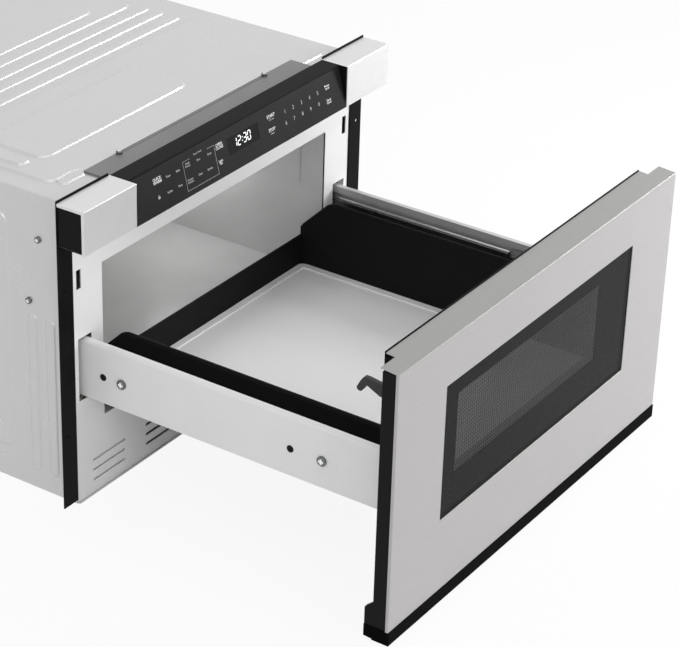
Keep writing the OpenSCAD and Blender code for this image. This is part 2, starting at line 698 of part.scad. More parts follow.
// Racks, gears and cross shaft
pressure = 20;
backlash = 0.3;
idler_r = gear_m * idler_n / 2;
pinion_r = gear_m * pinion_n / 2;
rack_rise = 0.5;
rack_tip_z = arm_z + rack_rise;
rack_z = rack_tip_z + gear_m;
idler_z = rack_z - idler_r;
shaft_z = idler_z - idler_r - pinion_r;
gear_gap = 1;
gear_x = arms_w / 2 - arm_t - gear_w - gear_gap;
pitch = PI * gear_m;
dedendum = 1.25 * gear_m;
flank_n = 5;
root_lift = 0.01;
function inv(a) = tan(a) * 180 / PI - a;
function half_angle(n, r, at) = 90 / n - backlash / 4 / r * 180 / PI
    + inv(pressure) - inv(acos(min(1, r * cos(pressure) / at)));
function flank_radii(n) = let (r = gear_m * n / 2, low = max(r * cos(pressure), r - dedendum) + root_lift)
    [for (i = [0:flank_n]) low + (r + gear_m - low) * i / flank_n];
module gear_outline(n, phase) polygon([for (k = [0:n - 1]) let (r = gear_m * n / 2, c = phase + k * 360 / n,
    radii = flank_radii(n), foot = half_angle(n, r, radii[0]))
    each concat(
        [[(r - dedendum) * cos(c - foot), (r - dedendum) * sin(c - foot)]],
        [for (p = radii) [p * cos(c - half_angle(n, r, p)), p * sin(c - half_angle(n, r, p))]],
        [for (i = [flank_n:-1:0]) let (p = radii[i], h = half_angle(n, r, p)) [p * cos(c + h), p * sin(c + h)]],
        [[(r - dedendum) * cos(c + foot), (r - dedendum) * sin(c + foot)]])]);
hub_r = 8;
axle_r = 4;
hub_l = 5;
gear_bracket_x = gear_x + gear_w + hub_l;
gear_bracket_t = 1.6;
gear_bracket_w = 46;
gear_foot_w = 10;
axle_head_r = 6;
web_hole_share = 0.62;
web_hole_r_share = 0.16;
module idler_gear() color("white") difference() {
    union() {
        sideways(gear_x, gear_w) translate([gear_y, idler_z]) difference() {
            gear_outline(idler_n, 90);
            circle(axle_r + shaft_fit);
        }
        translate([gear_x + gear_w - over, gear_y, idler_z]) rotate([0, 90, 0])
            cylinder(h = gear_bracket_x - gear_x - gear_w - run_gap + over, r = hub_r);
    }
    translate([gear_x, gear_y, idler_z]) rotate([0, 90, 0])
        cylinder(h = gear_bracket_x, r = axle_r + shaft_fit);
    for (a = [0:60:300]) translate([gear_x - over, gear_y, idler_z]) rotate([a, 0, 0])
        translate([0, idler_r * web_hole_share, 0]) rotate([0, 90, 0])
        cylinder(h = gear_w + over * 3 / 2, r = idler_r * web_hole_r_share);
}
module idler_gear_right() idler_gear();
module idler_gear_left() mirror([1, 0, 0]) idler_gear();
module shaft_gears() color("white") both_sides() sideways(gear_x, gear_w)
    translate([gear_y, shaft_z]) difference() {
    gear_outline(pinion_n, 90 + 180 / pinion_n);
    circle(shaft_r);
}
shaft_past = 2;
shaft_end = gear_bracket_x + gear_bracket_t + shaft_past;
module drive_shaft() color("silver") translate([-shaft_end, gear_y, shaft_z]) rotate([0, 90, 0])
    cylinder(h = 2 * shaft_end, r = shaft_r);
bracket_rim = 4;
bracket_top = idler_z + hub_r + bracket_rim;
module gear_brackets() color("silver") both_sides() {
    difference() {
        union() {
            span([gear_bracket_x, gear_y - gear_bracket_w / 2, sheet],
                [gear_bracket_x + gear_bracket_t, gear_y + gear_bracket_w / 2, bracket_top]);
            span([gear_bracket_x, gear_y - gear_bracket_w / 2, sheet],
                [gear_bracket_x + gear_foot_w, gear_y + gear_bracket_w / 2, sheet + gear_bracket_t]);
        }
        translate([gear_bracket_x - over, gear_y, shaft_z]) rotate([0, 90, 0])
            cylinder(h = gear_foot_w + 2 * over, r = shaft_r + shaft_fit);
    }
    translate([gear_x - run_gap, gear_y, idler_z]) rotate([0, 90, 0])
        cylinder(h = gear_bracket_x + gear_bracket_t / 2 - gear_x + run_gap, r = axle_r);
    translate([gear_x - run_gap - gear_bracket_t, gear_y, idler_z]) rotate([0, 90, 0])
        cylinder(h = gear_bracket_t, r = axle_head_r);
}
box_in = 60;
box_w = 52;
box_x = [box_in, box_in + box_w];
box_half = 22;
box_gap = 2;
box_top = cavity_z - liner_t - box_gap;
box_low = shaft_z - box_half;
box_leg = 3;
motor_r = 17;
motor_l = 58;
motor_boss = 4;
module drive_gearbox() color("dimgray") difference() {
    union() {
        span([box_x[0], gear_y - box_half, box_low], [box_x[1], gear_y + 2 * box_half, box_top]);
        for (x = [box_x[0], box_x[1] - box_leg])
            span([x, gear_y - box_half, sheet], [x + box_leg, gear_y + 2 * box_half, box_low + over]);
    }
    translate([box_x[0] - over, gear_y, shaft_z]) rotate([0, 90, 0])
        cylinder(h = box_x[1] - box_x[0] + 2 * over, r = shaft_r + shaft_fit);
}
module drive_motor() color("silver") translate([(box_x[0] + box_x[1]) / 2, gear_y + 2 * box_half, shaft_z])
    rotate([-90, 0, 0]) {
    cylinder(h = motor_l, r = motor_r);
    translate([0, 0, motor_l - over]) cylinder(h = motor_boss + over, r = motor_r / 3);
}
rack_in = 12;
rack_past = 18;
rack_front = -travel + slide_y + rack_in;
rack_rear = gear_y + rack_past;
rack_teeth = [ceil((rack_front - gear_y) / pitch), floor((rack_rear - gear_y) / pitch) - 1];
rack_back_h = 8;
rack_half = pitch / 4 - backlash / 4;
module drive_racks() color("white") both_sides() sideways(gear_x, arms_w / 2 - arm_t - gear_x) difference() {
    union() {
        translate([rack_front, rack_z + dedendum]) square([rack_rear - rack_front, rack_back_h]);
        polygon(concat([[rack_rear, rack_z + dedendum + over], [rack_front, rack_z + dedendum + over],
            [rack_front, rack_z + dedendum]],
            [for (k = [rack_teeth[0]:rack_teeth[1]]) let (c = gear_y + (k + 0.5) * pitch,
                low = rack_half + dedendum * tan(pressure), tip = rack_half - gear_m * tan(pressure))
                each [[c - low, rack_z + dedendum], [c - tip, rack_tip_z], [c + tip, rack_tip_z],
                [c + low, rack_z + dedendum]]], [[rack_rear, rack_z + dedendum]]));
    }
}

// Interlock switches behind the latch slots
switch_y = 34;
switch_l = 20;
switch_drop = 5.5;
switch_h = 26;
switch_rim = 6;
switch_in = 1;
switch_z = [slot_z[0] - switch_drop, slot_z[0] - switch_drop + switch_h];
switch_plate_gap = 1.4;
switch_plate_x = slot_x[1] + switch_plate_gap;
module interlock_switches() color("dimgray") both_sides() {
    span([switch_plate_x, sheet, switch_z[0] - switch_rim],
        [switch_plate_x + sheet, switch_y + switch_l, switch_z[1] + switch_rim]);
    span([slot_x[0] + switch_in, switch_y, switch_z[0]],
        [switch_plate_x + sheet / 2, switch_y + switch_l, switch_z[1]]);
}

// Door: drawn shut, then moved out by the travel
deck_front = 23.3;
door_gap = 3.7;
door_back = -door_gap;
frame_t = 1.5;
deck_y = [-front_out + deck_front, door_back - frame_t];
deck_in = 3;
deck_x = case_x - deck_in;
deck_rise = 3.5;
skin_return = 4;
glass_t = 3.5;
glass_lap = 6;
window_mid = window_z + window_h / 2;
module deck_side(low, high) polygon([[low, door_top - sheet + deck_rise * (low + front_out) / front_out],
    [low, door_top + deck_rise * (low + front_out) / front_out],
    [high, door_top + deck_rise * (high + front_out) / front_out],
    [high, door_top - sheet + deck_rise * (high + front_out) / front_out]]);
module door_skin() color("lightgray") open_drawer() {
    difference() {
        span([-half_w, -front_out, door_z], [half_w, -front_out + sheet, door_top]);
        upright(-front_out - over, sheet + 2 * over) translate([0, window_mid])
            square([window_w, window_h], center = true);
    }
    both_sides() span([half_w - sheet, -front_out + sheet / 2, door_z],
        [half_w, -front_out + skin_return, door_top]);
    difference() {
        sideways(-half_w, front_w) deck_side(-front_out + sheet / 2, deck_y[1]);
        both_sides() span([deck_x, deck_y[0], door_top - 2 * sheet],
            [half_w + over, 0, door_top + 2 * deck_rise]);
    }
}
module door_glass() color("black", 0.6) open_drawer() upright(-front_out + sheet, glass_t)
    translate([0, window_mid]) round_rect(window_w + 2 * glass_lap, window_h + 2 * glass_lap, glass_lap);
frame_low = 40;
frame_high = door_top - sheet;
screen_in = 17;
screen_drop = 1.5;
screen_y = -front_out + screen_in;
screen_open = [315, 101];
screen_pitch = 3;
screen_slot = 1.3;
back_open = [340, 126];
hook_pivot_in = 14;
hook_pivot_up = 11.5;
hook_pivot = [-hook_pivot_in, slot_z[0] + hook_pivot_up];
hook_pin_r = 2;
hook_side_gap = 0.9;
hook_x = [slot_x[0] + hook_side_gap, slot_x[1] - hook_side_gap];
module door_choke_frame() color("dimgray") open_drawer() {
    inner_w = window_w + 2 * glass_lap;
    inner_h = window_h + 2 * glass_lap;
    difference() {
        span([-deck_x, -front_out + sheet, frame_low], [deck_x, door_back, frame_high]);
        difference() {
            span([-deck_x + frame_t, -front_out, frame_low + frame_t],
                [deck_x - frame_t, door_back - frame_t, frame_high - frame_t]);
            upright(-front_out - over, front_out + 2 * over) translate([0, window_mid])
                square([inner_w + 2 * frame_t, inner_h + 2 * frame_t], center = true);
        }
        upright(-front_out - over, front_out + over + door_back - frame_t) translate([0, window_mid])
            square([inner_w, inner_h], center = true);
        upright(door_back - frame_t - over, frame_t + 2 * over) {
            translate([0, window_mid]) round_rect(back_open[0], back_open[1], mouth_r);
            for (s = [-1, 1]) translate([s * (slot_x[0] + slot_x[1]) / 2, (slot_z[0] + slot_z[1]) / 2])
                square([slot_x[1] - slot_x[0], slot_z[1] - slot_z[0]], center = true);
        }
    }
    span([-deck_x, door_back - frame_t, frame_high - frame_t],
        [deck_x, door_back, door_top + deck_rise + frame_t / 2]);
    both_sides() translate([hook_x[0] - seat_gap, hook_pivot[0], hook_pivot[1]]) rotate([0, 90, 0])
        cylinder(h = deck_x - frame_t / 2 - hook_x[0] + seat_gap, r = hook_pin_r);
}
module door_screen() color("gray") open_drawer() difference() {
    upright(screen_y, sheet) translate([0, window_mid])
        square([window_w + 2 * glass_lap, window_h + 2 * glass_lap], center = true);
    rows = floor(screen_open[1] / screen_pitch / 2);
    upright(screen_y - over, sheet + 2 * over) for (i = [-rows:rows])
        translate([0, window_mid - screen_drop + i * screen_pitch])
        square([screen_open[0], screen_slot], center = true);
}
trim_t = 4.8;
foot_h = 42;
foot_y = -8.4;
foot_slope = 9;
trim_low = 5;
trim_gap = 2;
trim_back = deck_y[0] - trim_gap;
module door_side_trims() color("black") open_drawer() both_sides() sideways(half_w - sheet - trim_t, trim_t)
    polygon([[-front_out + sheet, door_z], [trim_back, door_z], [trim_back, trim_low], [foot_y, trim_low],
    [foot_y, foot_h], [trim_back, foot_h + foot_slope], [trim_back, door_top - sheet - over],
    [-front_out + sheet, door_top - sheet - over]]);
bottom_z = 3;
module door_bottom_trim() color("black") open_drawer() difference() {
    span([-half_w, -front_out - over, bottom_z], [half_w, trim_back, door_z]);
    span([-half_w - over, -front_out + 2 * sheet, bottom_z + 2 * sheet],
        [half_w + over, deck_y[0], door_z + over]);
}
// The hook's outline round its pivot, as shares of its reach
hook_reach = 47.1;
hook_shares = [[-0.106, -0.149], [0.363, -0.168], [0.739, 0.008], [0.811, -0.117], [0.868, -0.195],
    [0.949, -0.2], [1, -0.132], [0.894, 0.079], [0.809, 0.191], [0.698, 0.189], [0.352, 0.142],
    [-0.106, 0.149]];
module latch_hook() color("black") open_drawer() sideways(hook_x[0], hook_x[1] - hook_x[0]) difference() {
    translate(hook_pivot) polygon(hook_reach * hook_shares);
    translate(hook_pivot) circle(hook_pin_r + shaft_fit);
}
module latch_hook_right() latch_hook();
module latch_hook_left() mirror([1, 0, 0]) latch_hook();

// Tub, plate and arms
tub_x = tub_w / 2;
tub_float = 7.5;
tub_z = cavity_z + tub_float;
tub_rear = cavity_d - door_gap;
roll_r = 2.4;
roll_share = 0.6;
tub_hole_in = 22;
tub_hole_down = 12;
module tub_wall() color("black") open_drawer() union() {
    sideways(tub_x - tub_t, tub_t) polygon([[door_back, tub_z], [tub_rear, tub_z],
        [tub_rear, tub_top - tub_slant], [tub_rear - tub_slant, tub_top], [door_back, tub_top]]);
    translate([tub_x - tub_t / 2, door_back, tub_top - roll_r * roll_share]) rotate([-90, 0, 0])
        cylinder(h = tub_rear - tub_slant - door_back, r = roll_r);
}
module tub_wall_right() tub_wall();
module tub_wall_left() mirror([1, 0, 0]) tub_wall();
module tub_rear_wall() color("black") open_drawer() difference() {
    span([-tub_x + tub_t, tub_rear - tub_t, tub_z], [tub_x - tub_t, tub_rear, tub_rear_top]);
    translate([tub_x - tub_hole_in, tub_rear - tub_t - over, tub_rear_top - tub_hole_down]) rotate([-90, 0, 0])
        cylinder(h = tub_t + 2 * over, r = screw_r);
}
module tub_floor() color("black") open_drawer()
    span([-tub_x + tub_t, door_back, tub_z], [tub_x - tub_t, tub_rear - tub_t, tub_z + tub_t]);
plate_rim = 9;
plate_rim_h = 1.6;
plate_front = 4;
module ceramic_plate() color("white") open_drawer() {
    low = tub_z + tub_t;
    w = tub_w - 2 * tub_t - 2 * seat_gap;
    d = tub_rear - tub_t - seat_gap - plate_front;
    translate([0, plate_front + d / 2, low]) difference() {
        linear_extrude(plate_z + plate_rim_h - low) round_rect(w, d, plate_rim);
        translate([0, 0, plate_z - low]) linear_extrude(plate_rim_h + over)
            round_rect(w - 2 * plate_rim, d - 2 * plate_rim, plate_rim / 2);
    }
}
arm_x = arms_w / 2;
arm_rear = 469;
fold_r = 3.5;
lip_h = 9;
arm_screw_y = arm_rear * [0.169, 0.7554];
arm_hole_y = arm_rear * [0.2586, 0.813];
arm_dimple_y = arm_rear * [0.094, 0.128, 0.386, 0.4584];
arm_screw_drop = 3;
arm_screw_z = (arm_z + arm_top) / 2 - arm_screw_drop;
arm_foot_up = 6;
arm_hole_r = 3.6;
arm_foot_w = 9;
arm_feature_r = 1.6;
module arm_profile() difference() {
    union() {
        translate([arm_x - fold_w, arm_z]) square([fold_w, arm_top - arm_z - fold_r]);
        translate([arm_x - fold_w, arm_top - 2 * fold_r]) square([fold_w - fold_r, 2 * fold_r]);
        translate([arm_x - fold_r, arm_top - fold_r]) circle(fold_r);
    }
    translate([arm_x - fold_w - over, arm_z - over]) square([over + arm_t, arm_top - arm_z - lip_h + over]);
    translate([arm_x - fold_w + arm_t, arm_z - over])
        square([fold_w - 2 * arm_t, arm_top - arm_z - fold_r + over]);
    translate([arm_x - fold_w + arm_t, arm_top - 2 * fold_r])
        square([fold_w - arm_t - fold_r, 2 * fold_r - arm_t]);
    translate([arm_x - fold_r, arm_top - fold_r]) circle(fold_r - arm_t);
}
module arm() color("lightgray") open_drawer() {
    difference() {
        upright(door_back, arm_rear - door_back) arm_profile();
        for (y = arm_hole_y) translate([arm_x - 2 * arm_t, y, arm_screw_z]) rotate([0, 90, 0])
            cylinder(h = 4 * arm_t, r = arm_hole_r);
        for (y = arm_screw_y) translate([arm_x - 2 * arm_t, y, arm_screw_z]) rotate([0, 90, 0])
            cylinder(h = 4 * arm_t, r = screw_r + run_gap);
    }
    span([arm_x - arm_t - arm_foot_w, door_back, arm_z + arm_foot_up],
        [arm_x - arm_t / 2, door_back + arm_t, arm_top - lip_h]);
    for (y = arm_dimple_y) translate([arm_x - arm_t / 2, y, arm_screw_z]) rotate([0, 90, 0])
        cylinder(h = arm_t, r = arm_feature_r);
}
module arm_right() arm();
module arm_left() mirror([1, 0, 0]) arm();
module arm_screws() color("silver") open_drawer() for (s = [-1, 1], y = arm_screw_y)
    translate([s * arm_x, y, arm_screw_z]) rotate([0, s * 90, 0])
    screw(screw_r, screw_head_r, screw_head_t, arm_t);

base_pan();
outer_case();
back_panel();
front_frame();
flange_left();
flange_right();
top_bracket();
case_screws();
cavity_liner();
waveguide();
stirrer_cover();
magnetron();
stirrer_motor();
hv_transformer();
hv_capacitor();
fan_housing();
fan_motor();
control_housing();
touch_panel();
display_window();
control_board();
end_cap_left();
end_cap_right();
slide_cabinet_left();
slide_cabinet_right();
slide_brackets();
gear_brackets();
drive_gearbox();
drive_motor();
interlock_switches();
oven_lamp();
cord_inlet();
fan_rotor();
mode_stirrer();
drive_shaft();
shaft_gears();
idler_gear_left();
idler_gear_right();
slide_middle_left();
slide_middle_right();
outer_ball_cages();
inner_ball_cages();
latch_hook_left();
latch_hook_right();
door_skin();
door_glass();
door_choke_frame();
door_screen();
door_side_trims();
door_bottom_trim();
tub_wall_left();
tub_wall_right();
tub_rear_wall();
tub_floor();
ceramic_plate();
arm_left();
arm_right();
drive_racks();
slide_drawer_members();
arm_screws();
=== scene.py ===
import json
import math

import bpy
from mathutils import Matrix, Vector
from mathutils.geometry import delaunay_2d_cdt


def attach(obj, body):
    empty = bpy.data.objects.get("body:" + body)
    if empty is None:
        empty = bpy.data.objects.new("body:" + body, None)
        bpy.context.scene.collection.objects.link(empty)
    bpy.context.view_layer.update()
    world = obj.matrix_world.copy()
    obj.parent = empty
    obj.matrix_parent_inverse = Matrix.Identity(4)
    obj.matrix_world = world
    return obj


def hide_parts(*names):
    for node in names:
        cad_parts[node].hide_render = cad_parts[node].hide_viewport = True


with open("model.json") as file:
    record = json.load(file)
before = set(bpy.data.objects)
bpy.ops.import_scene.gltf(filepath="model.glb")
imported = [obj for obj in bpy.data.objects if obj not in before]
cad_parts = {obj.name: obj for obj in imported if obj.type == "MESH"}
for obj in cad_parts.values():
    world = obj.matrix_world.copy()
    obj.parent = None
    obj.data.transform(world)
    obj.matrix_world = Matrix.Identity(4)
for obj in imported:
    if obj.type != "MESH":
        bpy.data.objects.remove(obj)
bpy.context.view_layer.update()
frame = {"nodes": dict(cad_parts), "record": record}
nodes = frame["nodes"]
behaviour = frame["record"]["behaviour"]
mm = 0.001
# how far the drawer stands open at rest is all of its slide's range
travel = next(joint["range_m"][1] for joint in behaviour["joints"] if joint["name"] == "drawer_slide")
print("frame loaded:", len(nodes), "nodes")


# Helpers for node trees, outlines, meshes and pieces

def linear(hexText):
    # 'D8D8D6' as linear colour with alpha
    channels = [int(hexText[i:i + 2], 16) / 255 for i in (0, 2, 4)]
    return [c / 12.92 if c <= 0.04045 else ((c + 0.055) / 1.055) ** 2.4 for c in channels] + [1]


def boxOf(node):
    # low and high corner of a CAD node
    places = [vert.co for vert in nodes[node].data.vertices]
    return [tuple(pick(place[axis] for place in places) for axis in range(3)) for pick in (min, max)]


def addNode(tree, kind, settings=None, links=None):
    # settings name the node's sockets or its own fields, links join a socket to another node's output
    node = tree.nodes.new(kind)
    for name, value in (settings or {}).items():
        if isinstance(name, int) or name in node.inputs:
            node.inputs[name].default_value = value
        else:
            setattr(node, name, value)
    for name, output in (links or {}).items():
        tree.links.new(output, node.inputs[name])
    return node


def newMaterial(name, surface):
    # surface holds the shader sockets that are the same all over the piece
    material = bpy.data.materials.new(name)
    material.use_nodes = True
    tree = material.node_tree
    tree.nodes.clear()
    shader = addNode(tree, "ShaderNodeBsdfPrincipled", surface)
    addNode(tree, "ShaderNodeOutputMaterial", {}, {"Surface": shader.outputs[0]})
    place = addNode(tree, "ShaderNodeTexCoord").outputs["Object"]
    return material, tree, shader, place


def grain(tree, place, sizeMm, detail=2.0, stretch=(1, 1, 1)):
    # noise whose features are about sizeMm across, drawn out along an axis by a share under 1
    turned = addNode(tree, "ShaderNodeMapping", {"Scale": stretch}, {"Vector": place})
    return addNode(tree, "ShaderNodeTexNoise", {"Scale": 1 / (sizeMm * mm), "Detail": detail},
                   {"Vector": turned.outputs[0]}).outputs["Fac"]


def twoTone(tree, shader, factor, low, high):
    # noise keeps near its middle, so the ramp runs over the middle of its range
    ramp = addNode(tree, "ShaderNodeValToRGB", {}, {"Fac": factor})
    for element, place, tone in zip(ramp.color_ramp.elements, (0.3, 0.7), (low, high)):
        element.position = place
        element.color = linear(tone)
    tree.links.new(ramp.outputs[0], shader.inputs["Base Color"])


def bump(tree, shader, height, deepMm, strength=0.5):
    lift = addNode(tree, "ShaderNodeBump", {"Strength": strength, "Distance": deepMm * mm},
                   {"Height": height})
    tree.links.new(lift.outputs[0], shader.inputs["Normal"])


def spreadOver(tree, shader, factor, socket, low, high):
    # a socket of the shader wanders between two values
    spread = addNode(tree, "ShaderNodeMapRange", {"To Min": low, "To Max": high}, {"Value": factor})
    tree.links.new(spread.outputs[0], shader.inputs[socket])


def roughAround(tree, shader, factor, rough, swing):
    spreadOver(tree, shader, factor, "Roughness", rough - swing, rough + swing)


def geometryTree(name, sizes, vectors=()):
    # a Geometry Nodes tree with named inputs, a material among them
    tree = bpy.data.node_groups.new(name, "GeometryNodeTree")
    tree.interface.new_socket("Geometry", in_out="INPUT", socket_type="NodeSocketGeometry")
    for socket in sizes:
        tree.interface.new_socket(socket, in_out="INPUT", socket_type="NodeSocketFloat")
    for socket in vectors:
        tree.interface.new_socket(socket, in_out="INPUT", socket_type="NodeSocketVector")
    tree.interface.new_socket("Material", in_out="INPUT", socket_type="NodeSocketMaterial")
    tree.interface.new_socket("Geometry", in_out="OUTPUT", socket_type="NodeSocketGeometry")
    return tree, addNode(tree, "NodeGroupInput").outputs


def endTree(tree, geometry, material):
    # the export drops instances, so they are made real here
    solid = addNode(tree, "GeometryNodeRealizeInstances", {}, {"Geometry": geometry})
    painted = addNode(tree, "GeometryNodeSetMaterial", {}, {
        "Geometry": solid.outputs[0], "Material": material})
    addNode(tree, "NodeGroupOutput", {}, {"Geometry": painted.outputs[0]})


def addTree(piece, tree, values):
    # a Geometry Nodes input is set by its socket's identifier
    modifier = piece.modifiers.new(tree.name, "NODES")
    modifier.node_group = tree
    for item in tree.interface.items_tree:
        if item.in_out == "INPUT" and item.name in values:
            modifier[item.identifier] = values[item.name]


def cornersOf(box):
    x0, y0, x1, y1 = box
    return [(x0, y0), (x1, y0), (x1, y1), (x0, y1)]


def roundedLoop(corners, radius, count=7):
    # points with outward normals round an outline that turns left, its corners rounded by a hair less than
    # the radius, so that two arcs on a narrow end don't meet in one point
    reach = radius * 0.999
    loop = []
    for i, corner in enumerate(corners):
        b = Vector(corner)
        u = (Vector(corners[i - 1]) - b).normalized()
        v = (Vector(corners[(i + 1) % len(corners)]) - b).normalized()
        centre = b + (u + v) * reach
        convex = (-u).cross(v) > 0
        first, last = b + u * reach - centre, b + v * reach - centre
        for step in range(count + 1):
            t = step / count * math.pi / 2
            out = (first * math.cos(t) + last * math.sin(t)).normalized()
            loop.append((centre + out * reach, out if convex else -out))
    return loop


def meshPiece(name, verts, faces, smooth=True):
    mesh = bpy.data.meshes.new(name)
    mesh.from_pydata(verts, [], faces)
    mesh.update()
    piece = bpy.data.objects.new(name, mesh)
    bpy.context.scene.collection.objects.link(piece)
    if smooth:
        mesh.shade_smooth()
    return piece


def bakeModifiers(piece):
    # the evaluated mesh takes the place of the piece's own, so no modifier is left on it
    graph = bpy.context.evaluated_depsgraph_get()
    mesh = bpy.data.meshes.new_from_object(piece.evaluated_get(graph))
    piece.modifiers.clear()
    piece.data = mesh
    return piece


def finish(piece, material, body, replaced=()):
    piece.data.materials.clear()
    piece.data.materials.append(material)
    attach(piece, body)
    if replaced:
        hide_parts(*replaced)
    return piece


# Materials, each named for what the real surface is and for any light or shade painted into it

def coatedSheet(name, low, high, rough, speckMm, metallic=0.0, ior=1.5):
    # sheet steel with a thin even coat: soft sheen, almost no pattern, a faint orange peel; a dull black
    # takes a low ior, because it shows little of the white studio
    material, tree, shader, place = newMaterial(name, {"Metallic": metallic, "IOR": ior})
    coarse = grain(tree, place, 45)
    twoTone(tree, shader, coarse, low, high)
    roughAround(tree, shader, coarse, rough, 0.015)
    bump(tree, shader, grain(tree, place, speckMm), 0.02, 0.25)
    return material


def brushedStainless(name, low, high, rough, stretch, metallic=1.0):
    # stainless sheet ground with a belt: long fine lines, drawn coarser than real ones so that they show
    material, tree, shader, place = newMaterial(name, {"Metallic": metallic})
    lines = grain(tree, place, 0.7, 2.0, stretch)
    twoTone(tree, shader, lines, low, high)
    roughAround(tree, shader, lines, rough, 0.02)
    bump(tree, shader, lines, 0.005, 0.12)
    return material


def mouldedPlastic(name, low, high, rough, sparkMm=0.9, deepMm=0.03, ior=1.5):
    # injection-moulded plastic with a fine spark-eroded texture
    material, tree, shader, place = newMaterial(name, {"IOR": ior})
    texture = grain(tree, place, sparkMm, 3.0)
    twoTone(tree, shader, texture, low, high)
    roughAround(tree, shader, texture, rough, 0.05)
    bump(tree, shader, texture, deepMm, 0.4)
    return material


def plainMetal(name, low, high, rough, sizeMm=14):
    # plated or bare metal with slight clouding
    material, tree, shader, place = newMaterial(name, {"Metallic": 1.0})
    cloud = grain(tree, place, sizeMm, 3.0)
    twoTone(tree, shader, cloud, low, high)
    roughAround(tree, shader, cloud, rough, 0.06)
    return material


def glossySheet(name, low, high, rough, coat, ior=1.52):
    # glass or enamel over colour: smooth, with a hard clear reflection
    material, tree, shader, place = newMaterial(name, {
        "IOR": ior, "Coat Weight": coat, "Coat Roughness": 0.06})
    cloud = grain(tree, place, 60)
    twoTone(tree, shader, cloud, low, high)
    roughAround(tree, shader, cloud, rough, 0.03)
    return material


def tintedGlass():
    # toughened float glass with a grey tint: dark, clear, with sharp reflections
    material, tree, shader, place = newMaterial("tintedFloatGlass", {
        "IOR": 1.12, "Transmission Weight": 1.0})
    cloud = grain(tree, place, 80)
    twoTone(tree, shader, cloud, "8E8E8E", "929292")
    roughAround(tree, shader, cloud, 0.02, 0.01)
    return material


def glowingPrint(name, colour, strength, dimShare=0.9):
    # light-emitting segments behind the display window
    material, tree, shader, place = newMaterial(name, {
        "Base Color": linear(colour), "Roughness": 0.5, "Emission Color": linear(colour)})
    spreadOver(tree, shader, grain(tree, place, 2), "Emission Strength", strength * dimShare, strength)
    return material


